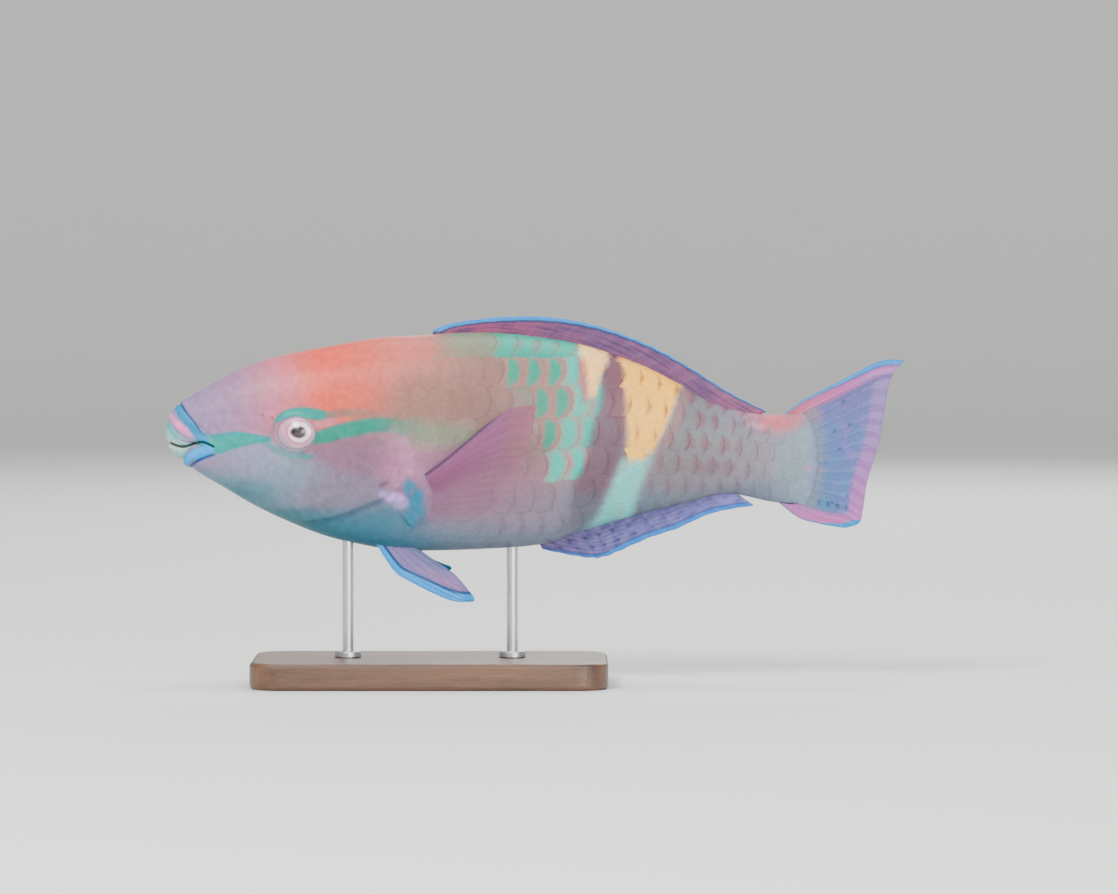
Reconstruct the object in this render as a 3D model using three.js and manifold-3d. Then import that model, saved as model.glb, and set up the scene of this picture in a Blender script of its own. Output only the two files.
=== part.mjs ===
// Yellowband parrotfish, adult male, life size, held over a plain display stand.
// Millimetres, +Z up. The snout points along -X and the left flank faces -Y.
// The origin is the centre of the underside of the stand's base.
// Places on the fish are given as (length, height): the length runs back from
// the snout, and the height is measured from the body's long axis.

import * as THREE from 'three';
import { mergeVertices } from 'three/addons/utils/BufferGeometryUtils.js';
import Module from 'manifold-3d';

const wasm = await Module();
wasm.setup();

// Whole animal
const FLESH_LENGTH = 294;
const SNOUT_X = -119.25;
const AXIS_HEIGHT = 110;
const PART_GAP = 0.3;
const CUT_HALF_WIDTH = 70;

// Body section: a superellipse, a little fuller above the axis
const SECTION_POWER = 2 / 2.2;
const UPPER_FULLNESS = 0.06;

// Body outlines, as (length, height) or (length, half width)
const BACK_LINE = [
  [0, 3.1], [1.35, 9.4], [5.85, 15.7], [18, 23.4], [42.75, 35.3], [69.75, 41.4], [105.75, 47],
  [141.75, 49.05], [177.75, 45.5], [213.75, 34.65], [231.75, 25.65], [245.25, 18.2],
  [258.75, 13.7], [272.25, 11.9], [286, 12.6], [294, -9],
];
const BELLY_LINE = [
  [0, 3.1], [1.35, -3.15], [9, -10.35], [24.75, -20.25], [49.5, -34], [81, -45.5],
  [114.75, -50.4], [155.25, -49], [171, -47.3], [186.75, -41.9], [201.15, -37.4],
  [233.1, -29.25], [252.9, -24.8], [272, -28.3], [286, -30], [294, -9],
];
const HALF_WIDTH = [
  [0, 0], [1.35, 4.4], [10, 9.2], [29, 14], [56, 18.6], [90, 21.4], [135, 22.2],
  [175, 20.2], [215, 15], [250, 8.8], [275, 5], [286, 3], [294, 0],
];

// Head: gill cover margin, mouth and lips
const GILL_MARGIN = [
  [96, 48], [103.5, 26], [108.5, 4], [111.6, -7], [110.4, -16], [103.5, -22.8],
  [89.5, -29.3], [78, -33.6], [68.8, -37.5], [61, -45],
];
const GILL_CUT_SHIFT = [0.36, -0.28];
const GILL_COVER_RISE = 0.7;
const GILL_COVER_FALLOFF = 7;
const GILL_RISE_TOP = 30;
const GILL_RISE_FADE = 12;
const MOUTH_LINE = [[-4, -1.2], [1.35, -1.35], [7.65, -3], [13.8, -1.35], [17.8, -0.6], [22.7, -2.5]];
const MOUTH_HALF_GAPE = [0.9, 0.8, 0.75, 0.5, 0.35, 0.2];
const UPPER_LIP_EDGE = [[-4, 14.5], [1.6, 9.9], [2.9, 5.4], [5.4, 1.5], [9.45, -0.5], [15.75, -1]];
const LOWER_LIP_EDGE = [[15.75, -1], [11.25, -4.2], [9.7, -7.65], [7.6, -12], [5.5, -17]];
const BEAK_CUT_SHIFT = [-0.27, 0.22];
const LIP_RISE = 0.75;
const LIP_WIDTH = 1.9;
const LIP_FOLD_DEPTH = 0.4;
const LIP_FOLD_WIDTH = 0.9;
const UPPER_LIP_CREST = [[1, 13], [5, 8.7], [8.6, 4], [14, 1], [19, -0.6], [22.4, -1.9]];
const UPPER_LIP_FOLD = [[5.5, 17.5], [9.5, 13], [13.5, 8.6], [17.5, 5], [21, 2.4]];
const LOWER_LIP_CREST = [[22.6, -3.7], [17, -5.2], [12.8, -7.2], [10, -10.3], [7, -14.5]];
const LOWER_LIP_FOLD = [[23, -6], [16.5, -8.3], [13.6, -11], [11.5, -16]];

// Eyes and nostrils
const EYE_PLACE = [59.2, 3.24];
const EYE_RADII = [11.4, 6.6, 9.8];
const EYE_STANDS_OUT = 2.6;
const EYE_OPENING = [8.3, 7];
const ORBIT_RISE = 0.8;
const ORBIT_WIDTH = 0.2;
const NOSTRILS = [[44.6, 11.6], [49, 10.2]];
const NOSTRIL_RADIUS = 1;

// Fins, as (length, height) outlines
const FIN_SINK = 4;
const RAY_ROOT_THICK = 2.4;
const RAY_EDGE_THICK = 1;
const WEB_ROOT_THICK = 1.5;
const WEB_EDGE_THICK = 0.6;
const DORSAL_RAYS = 19;
const DORSAL_BASE = [119.5, 262];
const DORSAL_MARGIN = [
  [121, 49.8], [129.2, 52.65], [149.2, 55.3], [172.2, 55.5], [195.1, 51.3],
  [216.3, 43.6], [234.8, 33.7], [253.5, 21.8], [270.8, 12.9],
];
const ANAL_RAYS = 12;
const ANAL_BASE = [166.5, 253];
const ANAL_MARGIN = [
  [170, -49.3], [178.2, -51.1], [190, -53.1], [197.3, -52.8], [205.7, -49.5], [218, -44.1],
  [230.4, -40], [243.5, -34], [254.5, -31.2], [265.3, -29.6],
];
const CAUDAL_RAYS = 15;
const CAUDAL_ROOT = [[276, 9.5], [283, -1], [284, -9], [282, -18], [276, -28]];
const CAUDAL_UPPER_EDGE = [
  [276, 9.5], [285.75, 17.1], [295, 22], [306, 27.7], [319.5, 34.6], [326.7, 36.2], [332.8, 35.8],
];
const CAUDAL_LOWER_EDGE = [[276, -28], [285.1, -35], [294.75, -37.8], [300.6, -38.9], [306, -39.8]];
const CAUDAL_MARGIN = [
  [332.8, 35.8], [326.6, 27], [323.6, 11.2], [321.3, -2], [316.4, -18], [314.3, -31.5],
  [312.6, -37.6], [306, -39.8],
];
const PECTORAL_RAYS = 14;
const PECTORAL_LEAN = 14;
const PECTORAL_ROOT = [[112, -17.6], [115.8, -26], [115.6, -33.5]];
const PECTORAL_UPPER_EDGE = [
  [112, -17.6], [123.7, -9.9], [137.1, 1.4], [147.1, 9.6], [156, 15], [167.6, 17.3],
];
const PECTORAL_LOWER_EDGE = [[115.6, -33.5], [126, -35.4], [139, -34.8]];
const PECTORAL_MARGIN = [[167.6, 17.3], [164.5, 0], [160, -13.5], [152, -28], [139, -34.8]];
const PELVIC_RAYS = 6;
const PELVIC_ROOT_OFFSET = 5.5;
const PELVIC_SPREAD = 10.5;
const LEFT_PELVIC = {
  root: [[95.2, -46.5], [103, -47], [111.2, -47]],
  leading: [[95.2, -46.5], [103, -58.3], [110.7, -63.4], [128.7, -71.5], [139, -71.8]],
  trailing: [[111.2, -47], [127.6, -57.8], [133, -62.2], [138.9, -69.6]],
  margin: [[139, -71.8], [139.6, -70.9], [138.9, -69.6]],
};
const RIGHT_PELVIC = {
  root: [[97, -46.5], [104, -47], [111.2, -47]],
  leading: [[97, -46.5], [106, -54], [117, -58.2], [128, -59.6]],
  trailing: [[111.2, -47], [120, -54], [128, -58]],
  margin: [[128, -59.6], [128.7, -58.8], [128, -58]],
};

// Peduncle, where the trunk narrows to the tail
const PEDUNCLE_START = 240;

// Stand
const BASE_SIZE = [160, 84, 12];
const BASE_CORNER = 14;
const BASE_BEVEL = 2;
const ROD_RADIUS = 2.5;
const ROD_PLACES = { stand_rod_front: -37, stand_rod_rear: 37 };

// Mesh steps: [from, to, step] along the body, and facets around it
const HEAD_STEPS = [[0.25, 3, 0.7], [3, 27, 1.7], [27, 118, 3.3], [118, 290, 43]];
const HEAD_FACETS = 48;
const TRUNK_STEPS = [[1, 50, 12], [50, 238, 5], [238, 290, 4.5], [290, 293.6, 1.2]];
const TRUNK_FACETS = 36;

const finishes = {
  head: { color: 0xa58c9c, roughness: 0.42 },
  beak: { color: 0xb4cfcd, roughness: 0.25 },
  eye: { color: 0xd9b8c0, roughness: 0.12 },
  body: { color: 0xa28f92, roughness: 0.45 },
  dorsal: { color: 0x96607f, roughness: 0.5 },
  anal: { color: 0x8a86bd, roughness: 0.5 },
  caudal: { color: 0x9f9ccb, roughness: 0.5 },
  pectoral: { color: 0xa8708f, roughness: 0.5 },
  pelvic: { color: 0x62b9e0, roughness: 0.5 },
  wood: { color: 0x4a2f20, roughness: 0.4 },
  steel: { color: 0xb9bcc0, roughness: 0.3, metalness: 1 },
};

// Monotone cubic through (x, y) points, so that an outline never bulges between them
function smoothCurve(points) {
  const count = points.length;
  const run = [];
  const slope = [];
  for (let i = 0; i < count - 1; i += 1) {
    run.push(points[i + 1][0] - points[i][0]);
    slope.push((points[i + 1][1] - points[i][1]) / run[i]);
  }
  const tangent = [slope[0]];
  for (let i = 1; i < count - 1; i += 1) {
    const before = slope[i - 1];
    const after = slope[i];
    const weightBefore = 2 * run[i] + run[i - 1];
    const weightAfter = run[i] + 2 * run[i - 1];
    const turns = before * after <= 0;
    const mean = (weightBefore + weightAfter) / (weightBefore / before + weightAfter / after);
    tangent.push(turns ? 0 : mean);
  }
  tangent.push(slope[count - 2]);
  return (x) => {
    let i = 0;
    while (i < count - 2 && x > points[i + 1][0]) i += 1;
    const t = (x - points[i][0]) / run[i];
    const rise = (1 + 2 * t) * (1 - t) ** 2 * points[i][1] + t * t * (3 - 2 * t) * points[i + 1][1];
    const bend = t * (1 - t) ** 2 * tangent[i] - t * t * (1 - t) * tangent[i + 1];
    return rise + bend * run[i];
  };
}

// A station runs from 0 at the snout to 1 at the tail end and crowds at both,
// which rounds the two ends of the body
function stationAt(length) {
  const clamped = Math.min(Math.max(length, 0), FLESH_LENGTH);
  return Math.acos(1 - (2 * clamped) / FLESH_LENGTH) / Math.PI;
}

function lengthAt(station) {
  return (FLESH_LENGTH * (1 - Math.cos(Math.PI * station))) / 2;
}

function overStations(points) {
  return smoothCurve(points.map(([length, value]) => [stationAt(length), value]));
}

const backHeight = overStations(BACK_LINE);
const bellyHeight = overStations(BELLY_LINE);
const halfWidth = overStations(HALF_WIDTH);

function signedPower(value, power) {
  return Math.sign(value) * Math.abs(value) ** power;
}

// Angle 0 is the back, a quarter turn is the left flank and half a turn the belly
function surfacePoint(station, angle) {
  const back = backHeight(station);
  const belly = bellyHeight(station);
  const wide = halfWidth(station) * (1 + UPPER_FULLNESS * Math.cos(angle));
  return new THREE.Vector3(
    SNOUT_X + lengthAt(station),
    -wide * signedPower(Math.sin(angle), SECTION_POWER),
    AXIS_HEIGHT + (back + belly) / 2 + ((back - belly) / 2) * signedPower(Math.cos(angle), SECTION_POWER),
  );
}

function surfaceNormal(station, angle) {
  const small = 1e-4;
  const along = surfacePoint(Math.min(station + small, 1), angle);
  along.sub(surfacePoint(Math.max(station - small, 0), angle));
  const around = surfacePoint(station, angle + small).sub(surfacePoint(station, angle - small));
  return around.cross(along).normalize();
}

// The flank's distance from the mid plane at a place in side view
function flankDistance(length, height) {
  const station = stationAt(length);
  const back = backHeight(station);
  const belly = bellyHeight(station);
  const level = THREE.MathUtils.clamp((height - (back + belly) / 2) / ((back - belly) / 2), -1, 1);
  const cosine = signedPower(level, 1 / SECTION_POWER);
  const sine = Math.sqrt(Math.max(0, 1 - cosine * cosine));
  return halfWidth(station) * (1 + UPPER_FULLNESS * cosine) * sine ** SECTION_POWER;
}

function curveThrough(points, divisions) {
  return new THREE.SplineCurve(points.map(([a, b]) => new THREE.Vector2(a, b))).getPoints(divisions);
}

function distanceTo(path, place) {
  let nearest = Infinity;
  for (let i = 0; i < path.length - 1; i += 1) {
    const step = path[i + 1].clone().sub(path[i]);
    const along = THREE.MathUtils.clamp(place.clone().sub(path[i]).dot(step) / step.lengthSq(), 0, 1);
    nearest = Math.min(nearest, path[i].clone().addScaledVector(step, along).distanceTo(place));
  }
  return nearest;
}

function bump(distance, width) {
  return Math.exp(-((distance / width) ** 2));
}

const gillPath = curveThrough(GILL_MARGIN, 40);
const lipCrests = [UPPER_LIP_CREST, LOWER_LIP_CREST].map((points) => curveThrough(points, 16));
const lipFolds = [UPPER_LIP_FOLD, LOWER_LIP_FOLD].map((points) => curveThrough(points, 16));

// How far the head stands out from the smooth body at a place in side view
function headRelief(length, height) {
  const place = new THREE.Vector2(length, height);
  let rise = 0;
  for (const crest of lipCrests) rise += LIP_RISE * bump(distanceTo(crest, place), LIP_WIDTH);
  for (const fold of lipFolds) rise -= LIP_FOLD_DEPTH * bump(distanceTo(fold, place), LIP_FOLD_WIDTH);
  const fromEye = Math.hypot(
    (length - EYE_PLACE[0]) / EYE_OPENING[0],
    (height - EYE_PLACE[1]) / EYE_OPENING[1],
  );
  rise += ORBIT_RISE * bump(fromEye - 1.1, ORBIT_WIDTH);
  const cover = 1 - THREE.MathUtils.smoothstep(height, GILL_RISE_TOP, GILL_RISE_TOP + GILL_RISE_FADE);
  return rise + GILL_COVER_RISE * cover * bump(distanceTo(gillPath, place), GILL_COVER_FALLOFF);
}

function ringStations(spans) {
  const stations = [];
  for (const [from, to, step] of spans) {
    const count = Math.round((to - from) / step);
    for (let i = 0; i < count; i += 1) stations.push(stationAt(from + ((to - from) * i) / count));
  }
  return stations;
}

function meshGeometry(points, triangles) {
  const geometry = new THREE.BufferGeometry();
  geometry.setAttribute('position', new THREE.Float32BufferAttribute(points.flatMap((p) => p.toArray()), 3));
  geometry.setIndex(triangles.flat());
  return geometry;
}

// Closed body: a pole at the snout, rings along the stations and a pole at the tail end
function bodyGeometry(spans, facets, relief) {
  const points = [surfacePoint(0, 0)];
  const triangles = [];
  const stations = ringStations(spans);
  for (const station of stations) {
    for (let k = 0; k < facets; k += 1) {
      const angle = (2 * Math.PI * k) / facets;
      const point = surfacePoint(station, angle);
      const lift = relief(point.x - SNOUT_X, point.z - AXIS_HEIGHT);
      points.push(point.addScaledVector(surfaceNormal(station, angle), lift));
    }
  }
  const last = points.length;
  points.push(surfacePoint(1, 0));
  const ringPoint = (ring, k) => 1 + ring * facets + (k % facets);
  for (let k = 0; k < facets; k += 1) {
    triangles.push([0, ringPoint(0, k + 1), ringPoint(0, k)]);
    triangles.push([last, ringPoint(stations.length - 1, k), ringPoint(stations.length - 1, k + 1)]);
    for (let ring = 0; ring < stations.length - 1; ring += 1) {
      const here = [ringPoint(ring, k), ringPoint(ring, k + 1)];
      const next = [ringPoint(ring + 1, k), ringPoint(ring + 1, k + 1)];
      triangles.push([here[0], next[1], next[0]], [here[0], here[1], next[1]]);
    }
  }
  return meshGeometry(points, triangles);
}

function toSolid(geometry) {
  const bare = geometry.clone();
  bare.deleteAttribute('normal');
  bare.deleteAttribute('uv');
  const merged = mergeVertices(bare, 1e-4);
  const solid = new wasm.Manifold(new wasm.Mesh({
    numProp: 3,
    vertProperties: new Float32Array(merged.attributes.position.array),
    triVerts: new Uint32Array(merged.index.array),
  }));
  return solid;
}

function largestBody(solid) {
  return solid.decompose().reduce((best, piece) => (piece.volume() > best.volume() ? piece : best));
}

function toGeometry(solid) {
  const mesh = largestBody(solid).getMesh();
  const geometry = new THREE.BufferGeometry();
  geometry.setAttribute('position', new THREE.Float32BufferAttribute(mesh.vertProperties, 3));
  geometry.setIndex(Array.from(mesh.triVerts));
  geometry.computeVertexNormals();
  return geometry;
}

// A side-view outline cut through the whole width of the fish
function sideCut(outline, shift = [0, 0]) {
  const corners = outline.map(([length, height]) => new THREE.Vector2(length + shift[0], height + shift[1]));
  const shape = new THREE.Shape(corners);
  const geometry = new THREE.ExtrudeGeometry(shape, { depth: 2 * CUT_HALF_WIDTH, bevelEnabled: false });
  geometry.rotateX(Math.PI / 2);
  geometry.translate(SNOUT_X, CUT_HALF_WIDTH, AXIS_HEIGHT);
  return toSolid(geometry);
}

function asPairs(path) {
  return path.map((point) => [point.x, point.y]);
}

function headOutline() {
  return [[-30, -90], [61, -90], ...asPairs(gillPath).reverse(), [96, 90], [-30, 90]];
}

function mouthOutline() {
  const middle = curveThrough(MOUTH_LINE, 20);
  const gapeAt = smoothCurve(MOUTH_LINE.map(([length], i) => [length, MOUTH_HALF_GAPE[i]]));
  const upper = middle.map((point) => [point.x, point.y + gapeAt(point.x)]);
  const lower = middle.map((point) => [point.x, point.y - gapeAt(point.x)]);
  return [...lower, ...upper.reverse()];
}

function beakOutline() {
  const upper = asPairs(curveThrough(UPPER_LIP_EDGE, 14));
  const lower = asPairs(curveThrough(LOWER_LIP_EDGE, 12));
  return [[-12, -17], ...lower.reverse(), ...upper.reverse().slice(1), [-12, 14.5]];
}

// The half of the mouth region over or under the mouth line
function jawOutline(side) {
  const middle = asPairs(curveThrough(MOUTH_LINE, 20));
  const outline = [[-12, -1.2], ...middle, [40, -2.5], [40, side * 30], [-12, side * 30]];
  return side > 0 ? outline : outline.reverse();
}

// Edge curves joined into a sheet: u runs from the leading to the trailing edge,
// v runs from the root to the margin
function finSheet({ root, margin, leading, trailing }) {
  const curves = [root, margin, leading, trailing].map(
    (points) => new THREE.SplineCurve(points.map(([a, b]) => new THREE.Vector2(a, b))),
  );
  return (u, v) => {
    const across = curves[0].getPoint(u).multiplyScalar(1 - v).add(curves[1].getPoint(u).multiplyScalar(v));
    const out = curves[2].getPoint(v).multiplyScalar(1 - u).add(curves[3].getPoint(v).multiplyScalar(u));
    const rootSide = curves[0].getPoint(0).lerp(curves[0].getPoint(1), u).multiplyScalar(1 - v);
    const marginSide = curves[1].getPoint(0).lerp(curves[1].getPoint(1), u).multiplyScalar(v);
    return across.add(out).sub(rootSide).sub(marginSide);
  };
}

// A fin's plate: rays stand as ridges on both faces, and both faces split alike
function finGeometry(sheet, offset, rays, rows) {
  const columns = 2 * rays;
  const place = (u, v) => {
    const flat = sheet(u, v);
    return new THREE.Vector3(SNOUT_X + flat.x, offset(u, v, flat), AXIS_HEIGHT + flat.y);
  };
  const points = [];
  const triangles = [];
  for (const face of [1, -1]) {
    for (let row = 0; row <= rows; row += 1) {
      for (let column = 0; column <= columns; column += 1) {
        const u = column / columns;
        const v = row / rows;
        const small = 1e-3;
        const across = place(Math.min(u + small, 1), v).sub(place(Math.max(u - small, 0), v));
        const outward = place(u, Math.min(v + small, 1)).sub(place(u, Math.max(v - small, 0)));
        const normal = across.cross(outward).normalize();
        const onRay = column % 2 === 1;
        const rootThick = onRay ? RAY_ROOT_THICK : WEB_ROOT_THICK;
        const edgeThick = onRay ? RAY_EDGE_THICK : WEB_EDGE_THICK;
        const thick = THREE.MathUtils.lerp(rootThick, edgeThick, v);
        points.push(place(u, v).addScaledVector(normal, (face * thick) / 2));
      }
    }
  }
  const index = (face, row, column) => (face * (rows + 1) + row) * (columns + 1) + column;
  const addQuad = (a, b, c, d) => triangles.push([a, b, c], [a, c, d]);
  for (let row = 0; row < rows; row += 1) {
    for (let column = 0; column < columns; column += 1) {
      const front = [[row, column], [row, column + 1], [row + 1, column + 1], [row + 1, column]];
      addQuad(...front.map(([r, c]) => index(0, r, c)));
      const back = front.map(([r, c]) => index(1, r, c));
      triangles.push([back[0], back[2], back[1]], [back[0], back[3], back[2]]);
    }
  }
  for (let column = 0; column < columns; column += 1) {
    addQuad(index(1, 0, column), index(1, 0, column + 1), index(0, 0, column + 1), index(0, 0, column));
    addQuad(index(0, rows, column), index(0, rows, column + 1), index(1, rows, column + 1), index(1, rows, column));
  }
  for (let row = 0; row < rows; row += 1) {
    addQuad(index(0, row, 0), index(0, row + 1, 0), index(1, row + 1, 0), index(1, row, 0));
    addQuad(index(1, row, columns), index(1, row + 1, columns), index(0, row + 1, columns), index(0, row, columns));
  }
  return meshGeometry(points, triangles);
}

function finSolid(geometry) {
  const solid = toSolid(geometry);
  return solid.subtract(clearBody);
}

function alongBack([from, to], height, sink) {
  const base = [];
  for (let i = 0; i <= 8; i += 1) {
    const length = from + ((to - from) * i) / 8;
    base.push([length, height(stationAt(length)) - sink]);
  }
  return base;
}

function medianFin(base, height, sink, margin, rays, rows) {
  const root = alongBack(base, height, sink);
  const sheet = finSheet({
    root,
    margin,
    leading: [root[0], margin[0]],
    trailing: [root[root.length - 1], margin[margin.length - 1]],
  });
  return finSolid(finGeometry(sheet, () => 0, rays, rows));
}

function caudalFin() {
  const sheet = finSheet({
    root: CAUDAL_ROOT,
    margin: CAUDAL_MARGIN,
    leading: CAUDAL_UPPER_EDGE,
    trailing: CAUDAL_LOWER_EDGE,
  });
  return finSolid(finGeometry(sheet, () => 0, CAUDAL_RAYS, 6));
}

function pectoralFin(side) {
  const sheet = finSheet({
    root: PECTORAL_ROOT,
    margin: PECTORAL_MARGIN,
    leading: PECTORAL_UPPER_EDGE,
    trailing: PECTORAL_LOWER_EDGE,
  });
  const lean = Math.tan(THREE.MathUtils.degToRad(PECTORAL_LEAN));
  const offset = (u, v, flat) => {
    const root = sheet(u, 0);
    const start = flankDistance(root.x, root.y) - FIN_SINK;
    return side * (start + FIN_SINK * Math.min(1, 6 * v) + lean * flat.distanceTo(root));
  };
  return finSolid(finGeometry(sheet, offset, PECTORAL_RAYS, 5));
}

function pelvicFin(side, outline) {
  const sheet = finSheet(outline);
  const offset = (u, v) => side * (PELVIC_ROOT_OFFSET + PELVIC_SPREAD * v ** 1.2);
  return finSolid(finGeometry(sheet, offset, PELVIC_RAYS, 4));
}

// An eyeball of the given growth, its short axis square to the head
function eyeSolid(side, growth) {
  const [length, height] = EYE_PLACE;
  const step = 1;
  const alongLean = (flankDistance(length + step, height) - flankDistance(length - step, height)) / (2 * step);
  const upLean = (flankDistance(length, height + step) - flankDistance(length, height - step)) / (2 * step);
  const outward = new THREE.Vector3(-alongLean, side, -upLean).normalize();
  const centre = new THREE.Vector3(SNOUT_X + length, side * flankDistance(length, height), AXIS_HEIGHT + height);
  centre.addScaledVector(outward, EYE_STANDS_OUT - EYE_RADII[1]);
  const ball = new THREE.SphereGeometry(1, 22, 14);
  ball.scale(EYE_RADII[0] + growth, EYE_RADII[1] + growth, EYE_RADII[2] + growth);
  ball.applyQuaternion(new THREE.Quaternion().setFromUnitVectors(new THREE.Vector3(0, side, 0), outward));
  ball.translate(centre.x, centre.y, centre.z);
  return toSolid(ball);
}

function nostrilSolid(side, [length, height]) {
  const pit = new THREE.SphereGeometry(NOSTRIL_RADIUS, 10, 8);
  pit.translate(SNOUT_X + length, side * flankDistance(length, height), AXIS_HEIGHT + height);
  return toSolid(pit);
}

function trunkCut(from, to) {
  return sideCut([[from, -90], [to, -90], [to, 90], [from, 90]]);
}

const fish = new THREE.Group();
fish.name = 'parrotfish';

function addPart(name, solid, finish) {
  const mesh = new THREE.Mesh(toGeometry(solid), new THREE.MeshStandardMaterial(finish));
  mesh.name = name;
  fish.add(mesh);
}

const trunkBody = toSolid(bodyGeometry(TRUNK_STEPS, TRUNK_FACETS, () => 0));
const clearBody = toSolid(bodyGeometry(TRUNK_STEPS, TRUNK_FACETS, () => PART_GAP));

function addHead() {
  const body = toSolid(bodyGeometry(HEAD_STEPS, HEAD_FACETS, headRelief));
  const mouth = sideCut(mouthOutline());
  const beakCut = sideCut(beakOutline());
  let head = body.intersect(sideCut(headOutline())).subtract(mouth).subtract(beakCut);
  for (const side of [-1, 1]) {
    head = head.subtract(eyeSolid(side, PART_GAP));
    for (const nostril of NOSTRILS) head = head.subtract(nostrilSolid(side, nostril));
    addPart(side < 0 ? 'eye_left' : 'eye_right', eyeSolid(side, 0), finishes.eye);
  }
  addPart('head', head, finishes.head);
  for (const [name, side] of [['beak_upper', 1], ['beak_lower', -1]]) {
    const shift = [BEAK_CUT_SHIFT[0], -side * BEAK_CUT_SHIFT[1]];
    const plate = body.intersect(sideCut(beakOutline(), shift)).intersect(sideCut(jawOutline(side)));
    addPart(name, plate.subtract(mouth), finishes.beak);
  }
}

function addTrunk() {
  const trunk = trunkBody.subtract(sideCut(headOutline(), GILL_CUT_SHIFT));
  addPart('torso', trunk.subtract(trunkCut(PEDUNCLE_START, 400)), finishes.body);
  addPart('tail_peduncle', trunk.intersect(trunkCut(PEDUNCLE_START + PART_GAP, 400)), finishes.body);
}

function addFins() {
  const dorsal = medianFin(DORSAL_BASE, backHeight, FIN_SINK, DORSAL_MARGIN, DORSAL_RAYS, 3);
  addPart('dorsal_fin', dorsal, finishes.dorsal);
  const anal = medianFin(ANAL_BASE, bellyHeight, -FIN_SINK, ANAL_MARGIN, ANAL_RAYS, 3);
  addPart('anal_fin', anal, finishes.anal);
  addPart('caudal_fin', caudalFin(), finishes.caudal);
  addPart('pectoral_fin_left', pectoralFin(-1), finishes.pectoral);
  addPart('pectoral_fin_right', pectoralFin(1), finishes.pectoral);
  addPart('pelvic_fin_left', pelvicFin(-1, LEFT_PELVIC), finishes.pelvic);
  addPart('pelvic_fin_right', pelvicFin(1, RIGHT_PELVIC), finishes.pelvic);
}

function standBase() {
  const [long, wide, high] = BASE_SIZE;
  const x = long / 2 - BASE_BEVEL;
  const y = wide / 2 - BASE_BEVEL;
  const r = BASE_CORNER - BASE_BEVEL;
  const outline = new THREE.Shape();
  outline.absarc(x - r, y - r, r, 0, Math.PI / 2);
  outline.absarc(-x + r, y - r, r, Math.PI / 2, Math.PI);
  outline.absarc(-x + r, -y + r, r, Math.PI, 1.5 * Math.PI);
  outline.absarc(x - r, -y + r, r, 1.5 * Math.PI, 2 * Math.PI);
  const geometry = new THREE.ExtrudeGeometry(outline, {
    depth: high - 2 * BASE_BEVEL,
    bevelThickness: BASE_BEVEL,
    bevelSize: BASE_BEVEL,
    bevelSegments: 1,
    curveSegments: 5,
  });
  geometry.translate(0, 0, BASE_BEVEL);
  return toSolid(geometry);
}

function standRod(x) {
  const bottom = BASE_SIZE[2] + PART_GAP;
  const rod = new THREE.CylinderGeometry(ROD_RADIUS, ROD_RADIUS, AXIS_HEIGHT - bottom, 24);
  rod.rotateX(Math.PI / 2);
  rod.translate(x, 0, (AXIS_HEIGHT + bottom) / 2);
  return toSolid(rod).subtract(clearBody);
}

function addStand() {
  addPart('stand_base', standBase(), finishes.wood);
  for (const [name, x] of Object.entries(ROD_PLACES)) addPart(name, standRod(x), finishes.steel);
}

addHead();
addTrunk();
addFins();
addStand();

export default fish;
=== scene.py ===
"""Yellowband parrotfish, adult male, life size, dressed for its museum stand.

Sizes in the fields are millimetres on the real fish. A place on the fish is
(length, height): length runs back from the snout and height is measured from
the body's long axis. The left flank faces -Y and the snout points along -X.
"""
import logging
import math
import random
from dataclasses import dataclass, field
from enum import Enum
from typing import Dict, Optional, Sequence, Tuple, Union

import bmesh
import bpy
import numpy as np
from mathutils import Matrix, Vector


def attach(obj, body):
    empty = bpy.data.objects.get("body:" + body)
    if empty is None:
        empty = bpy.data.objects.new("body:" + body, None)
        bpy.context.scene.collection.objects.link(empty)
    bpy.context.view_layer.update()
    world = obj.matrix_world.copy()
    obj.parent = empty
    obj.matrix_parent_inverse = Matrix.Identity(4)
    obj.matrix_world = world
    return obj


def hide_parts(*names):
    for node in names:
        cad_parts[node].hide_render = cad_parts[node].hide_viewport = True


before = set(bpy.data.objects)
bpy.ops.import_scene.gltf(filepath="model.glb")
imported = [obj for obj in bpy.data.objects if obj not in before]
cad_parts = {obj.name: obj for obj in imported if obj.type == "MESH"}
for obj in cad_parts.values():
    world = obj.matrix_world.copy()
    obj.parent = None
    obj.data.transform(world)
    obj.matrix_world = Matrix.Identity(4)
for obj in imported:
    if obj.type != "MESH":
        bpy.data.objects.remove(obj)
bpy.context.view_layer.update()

Array = np.ndarray
Pair = Tuple[float, float]
Triple = Tuple[float, float, float]
Line = Tuple[Pair, ...]
Colour = Tuple[float, float, float, float]
Shade = Union[str, Array]
Tree = bpy.types.NodeTree
Socket = bpy.types.NodeSocket
Mesh = bpy.types.Mesh
Material = bpy.types.Material
Shape = bmesh.types.BMesh

MM = 0.001
SNOUT_X = -119.25
AXIS_HEIGHT = 110.0
SEED = 4207

log = logging.getLogger("parrotfish")


class Side(Enum):
    """The two flanks, by the sign of their Y."""

    LEFT = -1
    RIGHT = 1


def srgb(code: str) -> Array:
    """Reads a hex colour as sRGB parts from 0 to 1, the space that markings are blended in."""
    return np.array([int(code[i:i + 2], 16) / 255 for i in (1, 3, 5)])


def linear(paint: Array) -> Array:
    """Turns sRGB parts into linear light."""
    return np.where(paint <= 0.04045, paint / 12.92, ((paint + 0.055) / 1.055) ** 2.4)


def solid(code: str) -> Colour:
    """Linear colour with an alpha of 1, for a shader's own socket."""
    return (*linear(srgb(code)).tolist(), 1.0)


def ease(values: Array, start: float, end: float) -> Array:
    """Smooth step from 0 at start to 1 at end."""
    t = np.clip((values - start) / (end - start), 0.0, 1.0)
    return t * t * (3 - 2 * t)


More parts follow.
